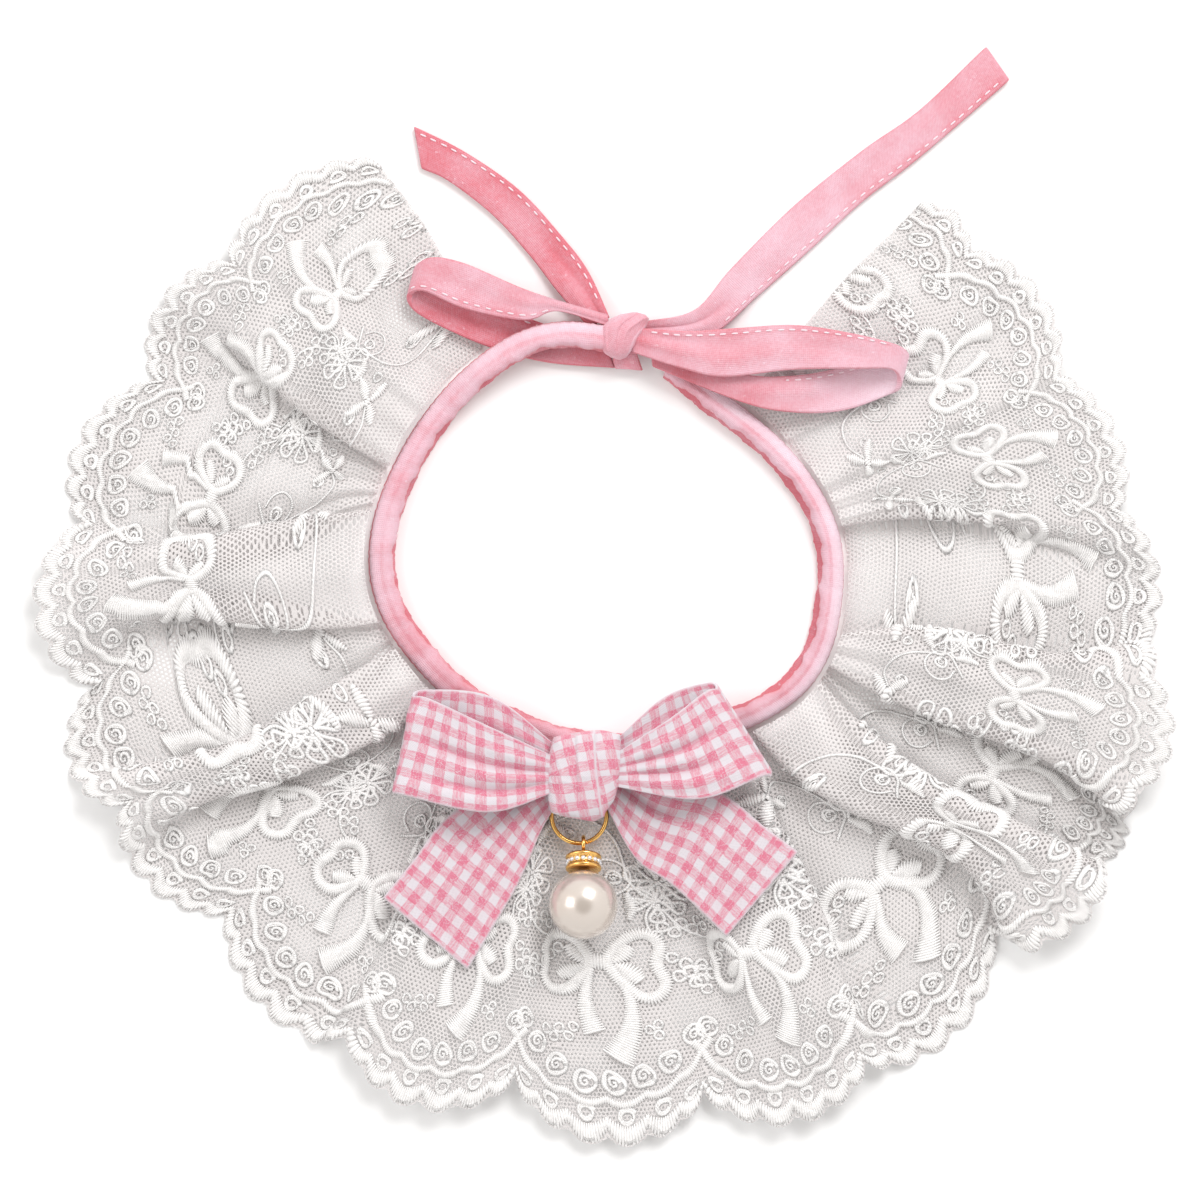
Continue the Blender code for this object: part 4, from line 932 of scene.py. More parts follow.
def floor_material(look):
    material, shade, _ = mottled("paper_floor", 9.0, look.floor, 0.12, 0.985)
    return dressed(material, Base_Color=shade, Roughness=0.9)


# ---------------- shapes

def to_world(points):
    """Table millimetres as the part's metres."""
    return (np.asarray(points, float) + np.array([NECK_X, NECK_Y, 0.0])) * MM


def polar(radius, angle, height):
    """Points at angles in degrees."""
    turn = np.radians(angle)
    return np.stack([radius * np.cos(turn), radius * np.sin(turn), height], axis=-1)


def lengths_along(points):
    """The length of a line of points up to each of them."""
    return np.concatenate([[0.0], np.cumsum(np.linalg.norm(np.diff(points, axis=0), axis=1))])


def neck_radius(angle):
    """The neckband's inner radius at an angle in degrees, smooth all the way round."""
    angles = np.array(NECK_ANGLES, float)
    turns = np.concatenate([angles - 360.0, angles, angles + 360.0])
    values = np.tile(np.array(NECK_RADII), 3)
    near = [np.interp(np.mod(angle, 360.0) + shift, turns, values) for shift in NECK_SPREAD]
    return np.mean(near, axis=0)


def at_stations(values, v):
    """A value that is set at evenly spaced stations, read on the curve through them all."""
    places = np.linspace(0.0, 1.0, len(values))
    total = 0.0
    for i, value in enumerate(values):
        weight = 1.0
        for j, other in enumerate(places):
            if j != i:
                weight = weight * (v - other) / (places[i] - other)
        total += value * weight
    return total


@lru_cache(maxsize=None)
def strip_places():
    places = [REPEAT * i for i in range(len(VALLEYS))]
    places[-1] = places[-2] + REPEAT * LAST_REPEAT_SHARE
    return tuple(places)


def hem_angle(u):
    return np.interp(u, strip_places(), [row.angle for row in VALLEYS])


def strip_place_at(angle):
    return float(np.interp(angle, [row.angle for row in VALLEYS], strip_places()))


def hem_radius(u):
    return np.interp(u, strip_places(), [row.radius for row in VALLEYS])


def lobe_arch(share):
    """The outline of one scallop, from 0 at its valleys to 1 half way."""
    across, up = ARCH_POWERS
    return (1.0 - np.abs(2.0 * share - 1.0) ** across) ** up


def lobe_share(v):
    """How much of the scallops' outline is taken on at row v."""
    return np.clip((v - LOBE_START) / (1.0 - LOBE_START), 0.0, 1.0) ** 1.5


def hem_lobe(u):
    """How far the scalloped edge stands out past the line of its valleys."""
    index = np.clip((u / REPEAT + 1e-6).astype(int), 0, len(VALLEYS) - 2)
    share = np.clip(u / REPEAT - index, 0.0, 1.0)
    depth = np.array([row.depth for row in VALLEYS])[index]
    bump = np.clip(np.searchsorted(HEM_EDGES, share + 1e-6) - 1, 0, len(HEM_BUMPS) - 1)
    width = np.diff(HEM_EDGES)[bump]
    inside = np.clip((share - HEM_EDGES[bump]) / width, 0.0, 1.0)
    size = BUMP_DEPTH * (width / width.max()) * np.clip(hem_radius(u) / MEAN_HEM, SMALLEST_BUMP, 1.0)
    return depth * lobe_arch(share) + size * np.sin(math.pi * inside) ** BUMP_POWER


def fold_fall(share, closed):
    """How much of its height a fold has lost: in two steps if it laps over, else in one."""
    steps = np.sin(4.0 * math.pi * share) / (4.0 * math.pi)
    slope = np.sin(2.0 * math.pi * share) / (2.0 * math.pi)
    return share - closed * steps - (1.0 - closed) * slope


def fold_steps(run, fall, overhang):
    share = np.linspace(0.0, 1.0, 121)
    x = run * share + overhang * np.sin(2.0 * math.pi * share)
    z = fall * fold_fall(share, min(1.0, overhang / 2.0))
    return np.gradient(x), np.gradient(z)


def open_overhang(wanted, run, fall):
    """The overhang nearest to the wanted one whose turns stay wide enough for the cloth."""
    best = (0.0, 0.0)
    choices = sorted(np.linspace(0.0, WIDEST_OVERHANG, 61), key=lambda value: abs(value - wanted))
    for overhang in choices:
        dx, dz = fold_steps(run, fall, overhang)
        bend = np.abs(dx * np.gradient(dz) - dz * np.gradient(dx))[2:-2]
        turn = float(np.min(np.hypot(dx, dz)[2:-2] ** 3 / np.maximum(bend, 1e-12)))
        if turn >= TIGHTEST_TURN:
            return float(overhang)
        best = max(best, (turn, float(overhang)))
    return best[1]


def hem_share(v):
    """How far row v has taken on the even spread that the strip has along its hem."""
    return min(1.0, max(0.0, (v - HEM_START) / HEM_REACH)) ** 2


@lru_cache(maxsize=None)
def panel_heights(v):
    return tuple(max(0.0, float(at_stations((p.neck, p.middle, p.hem), v))) for p in PANELS)


@lru_cache(maxsize=None)
def fold_layout(v):
    """Where each fold starts and ends at row v: strip places, angles and overhangs."""
    heights = panel_heights(v)
    layout = []
    for index, fold in enumerate(FOLDS):
        fall = heights[index] - heights[index + 1]
        side = 1.0 if PANELS[index].middle > PANELS[index + 1].middle else -1.0
        edge = float(at_stations(fold.edge, v))
        lap = float(at_stations(fold.lap, v))
        inner = float(neck_radius(edge)) + BAND_WIDTH
        outer = float(hem_radius(strip_place_at(fold.edge[-1])))
        radius = inner + (outer - inner) * v
        place = strip_place_at(fold.edge[-1])
        before_edge = EDGE_SHARE if side > 0 else 1.0 - EDGE_SHARE
        hem_start = float(hem_angle(place - fold.span * before_edge))
        hem_end = float(hem_angle(place + fold.span * (1.0 - before_edge)))
        share = NECK_RUN_SHARE if fold.lap[1] > 0 else OPEN_RUN_SHARE
        neck_run = math.degrees(share * fold.span / radius)
        run = neck_run + (hem_end - hem_start - neck_run) * v**2.5
        run_length = math.radians(run) * radius
        overhang = 0.0
        if lap > 0.0:
            overhang = open_overhang(lap / 2.0 + run_length / 4.0, run_length, abs(fall))
        reach = max(0.0, overhang - run_length / 4.0)
        centre = edge - side * math.degrees(reach / radius)
        cloth = fold.span
        if fold.lap[1] > 0:
            curled = float(np.sum(np.hypot(*fold_steps(run_length, fall, overhang))))
            cloth = curled + (fold.span - curled) * hem_share(v)
        left, right = centre - run / 2.0, centre + run / 2.0
        if v == 1.0:
            left, right = hem_start, hem_end
        start = place - cloth * before_edge
        end = place + cloth * (1.0 - before_edge)
        layout.append((start, end, left, right, math.degrees(overhang / radius), overhang))
    return layout


def strip_columns(v):
    """Strip places of the sheet's columns in row v, close together in every fold."""
    layout = fold_layout(v)
    hem = fold_layout(1.0)
    places = [0.0]
    before = 0.0
    for index, fold in enumerate(FOLDS):
        start, end = layout[index][:2]
        steps = max(1, round((hem[index][0] - before) / NET_COLUMN))
        places += list(np.linspace(places[-1], start, steps + 1)[1:])
        shares = FOLD_SHARES if fold.lap[1] > 0 else SLOPE_SHARES
        places += [start + (end - start) * share for share in shares]
        before = hem[index][1]
    length = strip_places()[-1]
    steps = max(1, round((length - before) / NET_COLUMN))
    places += list(np.linspace(places[-1], length, steps + 1)[1:])
    return np.array(places)


def lace_points(u, v):
    """Points of the lace's middle surface at strip places u in row v, in millimetres."""
    heights = panel_heights(v)
    layout = fold_layout(v)
    length = strip_places()[-1]
    places = [0.0]
    angles = [float(at_stations((NECK_END_ANGLES[0], MIDDLE_END_ANGLES[0], VALLEYS[0].angle), v))]
    for start, end, left, right, _, _ in layout:
        places += [start, end]
        angles += [left, right]
    places.append(length)
    angles.append(float(at_stations((NECK_END_ANGLES[1], MIDDLE_END_ANGLES[1], VALLEYS[-1].angle), v)))
    angle = np.interp(u, places, angles)
    angle = angle + (hem_angle(u) - angle) * hem_share(v)
    height = np.zeros_like(u)
    gather = np.zeros_like(u)
    for index, panel in enumerate(PANELS):
        start = 0.0 if index == 0 else layout[index - 1][1]
        end = length if index == len(FOLDS) else layout[index][0]
        inside = (u >= start) & (u <= end)
        share = np.clip((u - start) / max(end - start, 1e-6), 0.0, 1.0)
        out = min(1.0, CROWN_START + v * (1.0 - CROWN_START))
        crown = panel.crown * math.sin(math.pi * out) ** 0.5
        spread = math.radians(np.interp(end, places, angles) - np.interp(start, places, angles))
        crown *= min(1.0, spread * MEAN_NECK / CROWN_WIDTH)
        height = np.where(inside, heights[index] + crown * np.sin(math.pi * share) ** 2, height)
        pitch = GATHER_PITCH * spread * MEAN_NECK / max(end - start, 1e-6)
        room = min(1.0, max(0.0, (pitch - TIGHT_GATHER) / TIGHT_GATHER))
        gather = np.where(inside, room * np.clip(4.0 * share * (1.0 - share), 0.0, 1.0), gather)
    for index, (start, end, _, _, overhang_angle, overhang) in enumerate(layout):
        inside = (u > start) & (u < end)
        share = np.clip((u - start) / (end - start), 0.0, 1.0)
        drop = heights[index + 1] - heights[index]
        fall = heights[index] + drop * fold_fall(share, min(1.0, overhang / 2.0))
        height = np.where(inside, fall, height)
        angle = angle + np.where(inside, overhang_angle * np.sin(2.0 * math.pi * share), 0.0)
    ripple = 0.5 - 0.5 * np.cos(2.0 * math.pi * u / GATHER_PITCH)
    fade = max(0.0, 1.0 - v / GATHER_REACH)
    height = height + GATHER_HEIGHT * fade * ripple * gather
    inner = neck_radius(angle) + BAND_WIDTH + BAND_WAVE + SEAM_GAP + NECK_LEAN
    radius = inner + (hem_radius(u) - inner) * v
    radius = radius + hem_lobe(u) * lobe_share(v)
    corner = np.clip((u - length + CORNER_REACH) / CORNER_REACH, 0.0, 1.0)
    radius = radius - CORNER_DROP * corner**2 * v**6
    return polar(radius, angle, height + LACE_MIDDLE)


def net_places(u, points, v):
    """Where the net's own cells lie along row v: at true length, anchored on every panel and fold."""
    length = lengths_along(points)
    edges = [0.0]
    for start, end, *_ in fold_layout(v):
        edges += [start, end]
    edges.append(strip_places()[-1])
    places, lengths = [], []
    for start, end in zip(edges, edges[1:]):
        inset = min(ANCHOR_INSET, 0.2 * (end - start))
        low, high = np.interp([start + inset, end - inset], u, length)
        middle = 0.5 * (start + end)
        places += [start + inset, end - inset]
        lengths += [middle - 0.5 * (high - low), middle + 0.5 * (high - low)]
    return np.interp(u, places, lengths)


def crease_lift(creases, along, across, fade):
    """The height that a table of creases gives at places along and across a cloth."""
    lift = np.zeros(np.broadcast(along, across).shape)
    for crease in creases:
        share = (along - crease.start) / (crease.end - crease.start)
        inside = np.clip(share, 0.0, 1.0)
        ends = np.clip((crease.end - along) / fade, 0.0, 1.0)
        if crease.start > 0.0:
            ends = ends * np.clip((along - crease.start) / fade, 0.0, 1.0)
        ends = ends * ends * (3.0 - 2.0 * ends) * ((share >= 0.0) & (share <= 1.0))
        middle = crease.place + crease.drift * inside
        width = crease.width * (1.0 + CREASE_SPREAD * inside)
        lift += crease.lift * ends * np.exp(-(((across - middle) / width) ** 2))
    return lift


def grid_normals(points):
    """Unit normals of a grid of points, upwards where rows run out and columns run on."""
    down = np.gradient(points, axis=0)
    on = np.gradient(points, axis=1)
    normal = np.cross(on, down)
    return normal / np.maximum(np.linalg.norm(normal, axis=-1, keepdims=True), 1e-12)


def grid_faces(count, columns, rows_meet=False, columns_meet=False):
    """Faces of a grid of points, whose last row or column may meet the first one."""
    index = np.arange(count * columns).reshape(count, columns)
    if rows_meet:
        index = np.vstack([index, index[:1]])
    if columns_meet:
        index = np.hstack([index, index[:, :1]])
    corners = (index[:-1, :-1], index[:-1, 1:], index[1:, 1:], index[1:, :-1])
    return np.stack(corners, axis=-1).reshape(-1, 4)


def linked(name, data):
    """A new object in the scene."""
    obj = bpy.data.objects.new(name, data)
    bpy.context.scene.collection.objects.link(obj)
    return obj


def mesh_object(name, points, faces, maps=None, values=None):
    """A mesh object of metre points and faces, with its UV maps and values by point."""
    mesh = bpy.data.meshes.new(name)
    points = np.array(points, float).reshape(-1, 3)
    mesh.from_pydata(points.tolist(), [], np.asarray(faces).tolist())
    corners = np.empty(len(mesh.loops), np.int32)
    mesh.loops.foreach_get("vertex_index", corners)
    for label, places in (maps or {}).items():
        layer = mesh.uv_layers.new(name=label)
        layer.data.foreach_set("uv", np.asarray(places, np.float32).reshape(-1, 2)[corners].ravel())
    for label, numbers in (values or {}).items():
        numbers = np.asarray(numbers, np.float32).ravel()
        kind, field = ("FLOAT", "value") if len(numbers) == len(points) else ("FLOAT_VECTOR", "vector")
        mesh.attributes.new(label, kind, "POINT").data.foreach_set(field, numbers)
    mesh.shade_smooth()
    return linked(name, mesh)


def sealed(obj):
    """The same object with the points that meet made one and its faces turned outwards."""
    shell = bmesh.new()
    shell.from_mesh(obj.data)
    bmesh.ops.remove_doubles(shell, verts=shell.verts, dist=MERGE_REACH)
    bmesh.ops.recalc_face_normals(shell, faces=shell.faces)
    shell.to_mesh(obj.data)
    shell.free()
    obj.data.shade_smooth()
    return obj


def settled(obj, material=None):
    """The same object with its modifiers' result as a plain mesh."""
    graph = bpy.context.evaluated_depsgraph_get()
    mesh = bpy.data.meshes.new_from_object(
        obj.evaluated_get(graph), preserve_all_data_layers=True, depsgraph=graph)
    obj.modifiers.clear()
    before = obj.data
    obj.data = mesh
    bpy.data.meshes.remove(before)
    mesh.name = obj.name
    mesh.shade_smooth()
    if material is not None:
        mesh.materials.clear()
        mesh.materials.append(material)
    return obj


def run_nodes(obj, tree, values):
    """Puts a geometry node tree on an object, with its inputs set by their identifiers."""
    modifier = obj.modifiers.new(tree.name, "NODES")
    modifier.node_group = tree
    for item in tree.interface.items_tree:
        if item.item_type == "SOCKET" and item.in_out == "INPUT" and item.name in values:
            modifier[item.identifier] = values[item.name]
    return obj


def rides(obj, body, slot, *nodes, material=None):
    """Puts a piece on its body, with its material if given, and hides the nodes it stands for; the slot is
    not used.
    """
    if material is not None:
        obj.data.materials.append(material)
    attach(obj, body)
    if nodes:
        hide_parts(*nodes)


def smooth_rows(rows, per_row):
    """Rows of numbers read on a smooth curve through them, with per_row steps between two."""
    table = np.array(rows, float)
    padded = np.vstack([2 * table[0] - table[1], table, 2 * table[-1] - table[-2]])
    result = []
    for index in range(len(table) - 1):
        before, start, end, after = padded[index : index + 4]
        for step in range(per_row):
            t = step / per_row
            result.append(
                start
                + 0.5 * t * (end - before)
                + t * t * (before - 2.5 * start + 2.0 * end - 0.5 * after)
                + t * t * t * (1.5 * (start - end) + 0.5 * (after - before)))
    result.append(table[-1])
    return np.array(result)


def smooth_line(points, closed, per_step=8):
    table = [tuple(p) for p in points]
    if not closed:
        return smooth_rows(table, per_step)
    looped = table[-2:] + table + table[:2]
    fine = smooth_rows(looped, per_step)
    return fine[2 * per_step : (2 + len(table)) * per_step]


@lru_cache(maxsize=None)
def strip_grid(name, per_row, across):
    """A strip's middle surface in millimetres, its cloth map in metres, its row places and tones."""
    lines = smooth_rows(STRIPS[name], per_row)
    share = np.linspace(0.0, 1.0, across + 1)
    a, b = lines[:, None, 0:2], lines[:, None, 2:4]
    flat = a + (b - a) * share[None, :, None]
    height = np.repeat(lines[:, 4:5], across + 1, axis=1)
    grid = np.concatenate([flat, height[..., None]], axis=-1)
    rows = np.linspace(0.0, len(STRIPS[name]) - 1.0, len(lines))
    lift = crease_lift(STRIP_CREASES[name], rows[:, None], share[None, :], STRIP_FADE)
    grid = grid + grid_normals(grid) * upright_sign(name) * lift[..., None]
    grid[..., 2] = np.maximum(grid[..., 2], TIE_WALL / 2.0 + STRIP_CLEARANCE)
    middle = grid[:, across // 2]
    along = lengths_along(middle)
    width = np.linalg.norm(grid[:, -1] - grid[:, 0], axis=-1)
    width = OWN_WIDTH_SHARE * width[:, None] + (1.0 - OWN_WIDTH_SHARE) * width.max()
    along = np.repeat(along[:, None], across + 1, axis=1)
    cloth = np.stack([along, (share[None, :] - 0.5) * width], axis=-1)
    tone = np.zeros_like(lift)
    if name in STRIP_TONE_AND_SHADE:
        tone = tone + np.interp(rows, np.arange(len(STRIPS[name])), STRIP_TONE_AND_SHADE[name])[:, None]
        # Painted shade along each row of topstitching.
        for seam in [s for s in SEAMS if s.strip == name]:
            sewn = (rows >= seam.start) & (rows <= seam.end)
            away = (share[None, :] - seam.place) / SEAM_SPREAD
            tone = tone + SEAM_SHADE * sewn[:, None] * np.exp(-away ** 2)
    # Painted shade in the troughs of creases.
    tone = tone + CREASE_SHADE * np.maximum(-lift, 0.0)
    return grid, cloth * MM, rows, tone


def upright_sign(name):
    """Whether the strip's own normals point up on its uppermost part."""
    a, b = STRIPS[name][-2], STRIPS[name][-1]
    on = np.array([a.bx - a.ax, a.by - a.ay])
    out = np.array([b.ax - a.ax, b.ay - a.ay])
    return 1.0 if on[0] * out[1] - on[1] * out[0] > 0 else -1.0


def strip_shell(name, per_row, across, wall, material, edge_tone):
    """A closed thin shell of cloth along its strip, with rounded edges."""
    grid, cloth, _, tone = strip_grid(name, per_row, across)
    tone = tone.copy()
    tone[:, [0, -1]] += edge_tone
    if name.startswith("bow_tail"):
        tone[-1] = edge_tone
    obj = mesh_object(name + "_cloth", to_world(grid), grid_faces(*tone.shape)[:, ::-1],
                      {"cloth": cloth}, {"tone": tone})
    solid = obj.modifiers.new("wall", "SOLIDIFY")
    solid.thickness = wall * MM
    solid.offset = 0.0
    round_off = obj.modifiers.new("round", "SUBSURF")
    round_off.levels = round_off.render_levels = 1
    return settled(obj, material)


def strip_sheet(name):
    """Reads a strip's cloth map, its cloth's width and its length along the middle, and does nothing with
    it.
    """
    _, cloth, _, _ = strip_grid(name, *STRIP_STEPS[name.split("_")[0]])


# ---------------- geometry node trees

def geometry_tree(inputs):
    return node_tree("GeometryNodeTree", {"Shape": "Geometry", **inputs, "Material": "Material"},
                     {"Shape": "Geometry"})


def geo(tree, kind, feeds=None, **settings):
    return put(tree, "GeometryNode" + kind, feeds, **settings)


def finished(given, shape):
    """The shape made real, in the tree's material."""
    real = geo(given.tree, "RealizeInstances", {0: shape})
    return [geo(given.tree, "SetMaterial", {"Geometry": real, "Material": given["Material"]})]


def named(tree, name, kind="FLOAT"):
    return geo(tree, "InputNamedAttribute", {"Name": name}, data_type=kind)


def curve_of(shape):
    return geo(shape.tree, "MeshToCurve", {0: shape})


def stepped(curve, step):
    return geo(curve.tree, "ResampleCurve", {"Curve": curve, "Length": step}, mode="LENGTH")


def measured(curve):
    """The curve with the length up to each point stored there as its `along` value."""
    length = geo(curve.tree, "SplineParameter")["Length"]
    return geo(curve.tree, "StoreNamedAttribute", {"Geometry": curve, "Name": "along", "Value": length},
               data_type="FLOAT", domain="POINT")


def from_middle(tree):
    """The place along a curve, from -1 at its start to 1 at its end."""
    return geo(tree, "SplineParameter")["Factor"] * 2.0 - 1.0


def unevenness(given):
    """A random share for each stitch, between 1 and 1 less the tree's unevenness."""
    return put(given.tree, "FunctionNodeRandomValue",
               {2: 1.0 - given["Unevenness"], 3: 1.0, "Seed": given["Seed"]}, data_type="FLOAT")[1]


def tube(curve, sides, radius):
    profile = geo(curve.tree, "CurvePrimitiveCircle", {"Resolution": sides, "Radius": 1.0})
    return geo(curve.tree, "CurveToMesh",
               {"Curve": curve, "Profile Curve": profile, "Scale": radius, "Fill Caps": True})


@geometry_tree({"Step": 0.0005, "Sides": 6, "Relief": 0.001, "Unevenness": 0.1, "Seed": 1})
def round_lines(given):
    """Edges become round or flat stitched lines, as wide as their own half width."""
    tree, radius = given.tree, geo(given.tree, "InputRadius")
    sized = geo(tree, "SetCurveRadius", {"Curve": curve_of(given["Shape"]), "Radius": named(tree, "half")})
    jagged = geo(tree, "SetCurveRadius",
                 {"Curve": stepped(sized, given["Step"]), "Radius": radius * unevenness(given)})
    cord = tube(measured(jagged), given["Sides"], radius)
    x, y, rise = parts_of(geo(tree, "InputPosition"))
    high = rise / (abs(rise) / given["Relief"] + 1.0)
    pressed = vector_of(tree, x, y, calc("MAXIMUM", high, high * 0.3))
    return finished(given, geo(tree, "SetPosition", {"Geometry": cord, "Position": pressed}))


@geometry_tree({"Step": 0.0005, "Relief": 0.001, "Thread": 0.0003, "Unevenness": 0.1, "Seed": 1})
def satin_stitches(given):
    """Edges become satin stitch: raised threads side by side across the line's own width."""
    tree, half = given.tree, named(given.tree, "half")
    turn = put(tree, "FunctionNodeAlignRotationToVector", {"Vector": geo(tree, "InputTangent")},
               axis="X", pivot_axis="Z")
    strand = geo(tree, "MeshLine", {"Count": 4, "Start Location": (0.0, -1.0, 0.0),
                                    "Offset": (0.0, 2.0 / 3.0, 0.0)})
    copies = geo(tree, "InstanceOnPoints",
                 {"Points": stepped(curve_of(given["Shape"]), given["Step"]), "Instance": strand,
                  "Rotation": turn, "Scale": vector_of(tree, 1.0, half * unevenness(given), 1.0)})
    threads = curve_of(geo(tree, "RealizeInstances", {0: copies}))
    side = from_middle(tree)
    arch = 1.0 - side * side
    rise = vector_of(tree, 0.0, 0.0, arch * (half / (half / given["Relief"] + 1.0)))
    raised = geo(tree, "SetPosition", {"Geometry": threads, "Offset": rise})
    return finished(given, tube(raised, 4, given["Thread"] * (arch * 0.5 + 0.55)))


@geometry_tree({"Repeats": 18, "Repeat Length": 0.0365, "Map Size": STRIP_UV, "Lift": 0.0,
                "Lace": "Object"})
def wrap_on_lace(given):
    """One flat repeat of stitching is copied along the strip and laid on the lace sheet."""
    tree = given.tree
    starts = geo(tree, "MeshLine",
                 {"Count": given["Repeats"], "Offset": vector_of(tree, given["Repeat Length"])})
    copies = geo(tree, "InstanceOnPoints", {"Points": starts, "Instance": given["Shape"]})
    real = geo(tree, "RealizeInstances", {0: copies})
    x, y, height = parts_of(geo(tree, "InputPosition"))
    feeds = {"Mesh": geo(tree, "ObjectInfo", {"Object": given["Lace"]})["Geometry"],
             "UV Map": named(tree, "strip", "FLOAT_VECTOR"),
             "Sample UV": vector_of(tree, x / given["Map Size"], y * -1.0 / given["Map Size"])}
    place, up = (geo(tree, "SampleUVSurface", {**feeds, "Value": source}, data_type="FLOAT_VECTOR")
                 for source in (geo(tree, "InputPosition"), named(tree, "up", "FLOAT_VECTOR")))
    landed = vector_calc("ADD", place, scaled(up, height + given["Lift"]))
    landed = vector_calc("MAXIMUM", landed, (-1.0, -1.0, 0.0))
    outside = put(tree, "FunctionNodeBooleanMath", {0: place["Is Valid"]}, operation="NOT")
    kept = geo(tree, "DeleteGeometry", {"Geometry": real, "Selection": outside})
    return finished(given, geo(tree, "SetPosition", {"Geometry": kept, "Position": landed}))


@geometry_tree({"Pitch": 0.0026, "Length": 0.0017, "Thread": 0.00019})
def topstitches(given):
    """Edges become a row of single stitches, each with rounded ends."""
    tree = given.tree
    edges = geo(tree, "CurveToMesh", {"Curve": measured(stepped(curve_of(given["Shape"]), 0.0002))})
    share = calc("FRACT", named(tree, "along") / given["Pitch"])
    gap = calc("GREATER_THAN", share, given["Length"] / given["Pitch"])
    single = curve_of(geo(tree, "DeleteGeometry", {"Geometry": edges, "Selection": gap}))
    swell = calc("POWER", 1.0 - calc("POWER", from_middle(tree), 4.0), 0.5)
    return finished(given, tube(single, 6, (swell + 0.05) * given["Thread"]))


@geometry_tree({"Count": STONE_COUNT, "Radius": 0.0034, "Stone": 0.0006})
def stone_ring(given):
    """A ring of cut stones, each tilted its own way."""
    tree = given.tree
    circle = geo(tree, "MeshCircle", {"Vertices": given["Count"], "Radius": given["Radius"]})
    stone = geo(tree, "MeshIcoSphere", {"Radius": given["Stone"], "Subdivisions": 1})
    tilt = put(tree, "FunctionNodeRandomValue", {0: (0.0, 0.0, 0.0), 1: (6.0, 6.0, 6.0), "Seed": 2},
               data_type="FLOAT_VECTOR")
    return finished(given, geo(tree, "InstanceOnPoints",
                               {"Points": circle, "Instance": stone, "Rotation": tilt}))


# ---------------- embroidery

def edge_object(name, lines):
    """A mesh of edges from smooth lines in millimetres, each point with its half width."""
    points, edges, halves = [], [], []
    for widths, closed, line in lines:
        ends = list(range(len(points), len(points) + len(line)))
        edges += list(zip(ends, ends[1:] + ends[:1] * closed))
        points += [(*p, 0.0)[:3] for p in line]
        share = np.linspace(0.0, 1.0, len(line))
        halves += list(np.interp(share, np.linspace(0.0, 1.0, len(widths)), widths) * MM)
    mesh = bpy.data.meshes.new(name)
    mesh.from_pydata((np.array(points) * MM).tolist(), edges, [])
    mesh.attributes.new("half", "FLOAT", "POINT").data.foreach_set("value", np.array(halves, np.float32))
    return linked(name, mesh)


def swung(x, y, radius, turn, squash=1.0):
    """Points round a middle, at a radius that may change with the turn."""
    return np.stack([x + radius * np.cos(turn), y + radius * squash * np.sin(turn)], axis=-1)


def ring_lines(ring):
    """A round of cord with a looser second loop, and where it is filled the spiral inside it."""
    turn = np.linspace(0.0, 2.0 * math.pi, 21)[:-1]
    lines = []
    for size, thin, wave in RING_ROUNDS:
        reach = size * ring.radius * (1.0 + wave * np.sin(3.0 * turn + ring.x))
        lines.append(((thin * ring.half,), True, swung(ring.x, -ring.y, reach, turn)))
    if ring.filled:
        turn = np.linspace(SPIRAL_START, SPIRAL_START + SPIRAL_TURN, 24)
        spiral = swung(ring.x, -ring.y, ring.radius * np.linspace(*SPIRAL_RADII, len(turn)), turn)
        lines.append(([ring.half * share for share in SPIRAL_HALVES], False, spiral))
    return lines


def flower_lines(flower):
    """Petals looped in cord round a small filled middle."""
    middle = np.array([flower.x, -flower.y])
    swing = np.linspace(0.0, 1.0, 22)[:, None]
    reach = flower.length * np.sin(math.pi * swing) ** 0.75
    fullness = 0.5 + 0.5 * np.sin(math.pi * swing)
    spread = PETAL_WIDTH * flower.length * np.sin(2.0 * math.pi * swing) * fullness
    lines = []
    for petal in range(flower.petals):
        turn = math.radians(flower.turn + 360.0 * petal / flower.petals)
        on = np.array([math.cos(turn), math.sin(turn)])
        side = np.array([-on[1], on[0]])
        inner = middle + on * (PETAL_START + INNER_REACH * reach) - side * INNER_WIDTH * spread
        lines.append(((PETAL_HALF,), False, middle + on * (PETAL_START + reach) - side * spread))
        lines.append(((INNER_HALF,), False, inner[5:-5]))
    ends = np.array([[-MIDDLE_REACH, 0.0], [MIDDLE_REACH, 0.0]])
    return lines + [((MIDDLE_HALF,), False, middle + ends)]


def on_strip(points):
    """Flat stitching round a repeat's middle line, moved on to the flat strip in metres."""
    x, y, z = points[:, 0] / MM, -points[:, 1] / MM, points[:, 2]
    radius = np.hypot(x, y)
    u = REPEAT / 2.0 + np.arctan2(x, y) * NOMINAL_TURN
    lobe = NOMINAL_LOBE * lobe_arch(np.mod(u, REPEAT) / REPEAT)
    share = np.linspace(0.0, 1.0, 201)
    out = lobe_share(share)
    v = [np.interp(reach, NOMINAL_NECK + STRIP_DEPTH * share + depth * out, share)
         for reach, depth in zip(radius, lobe)]
    return np.stack([u * MM, -np.array(v) * STRIP_DEPTH * MM, z], axis=-1)


def drawn(line):
    """A line of the tables as its half widths, whether it is closed, and its smooth path."""
    return line.halves, line.closed, smooth_line([(x, -y) for x, y in line.points], line.closed)


def slim(lines):
    """The same lines drawn narrower, for the padding under them."""
    return [([PADDING_SHARE * half for half in halves], closed, line) for halves, closed, line in lines]


def hem_lines():
    """The bold cord on the scalloped edge, drawn in at each notch."""
    share = np.linspace(0.0, 1.0, 12)
    depths = HEM_INSET + HEM_DIP * (1.0 - np.sin(math.pi * share)) - STRIP_DEPTH
    return [(HEM_HALVES, False, np.stack([(start + (end - start) * share) * REPEAT, depths], axis=-1))
            for start, end in zip(HEM_EDGES, HEM_EDGES[1:])]


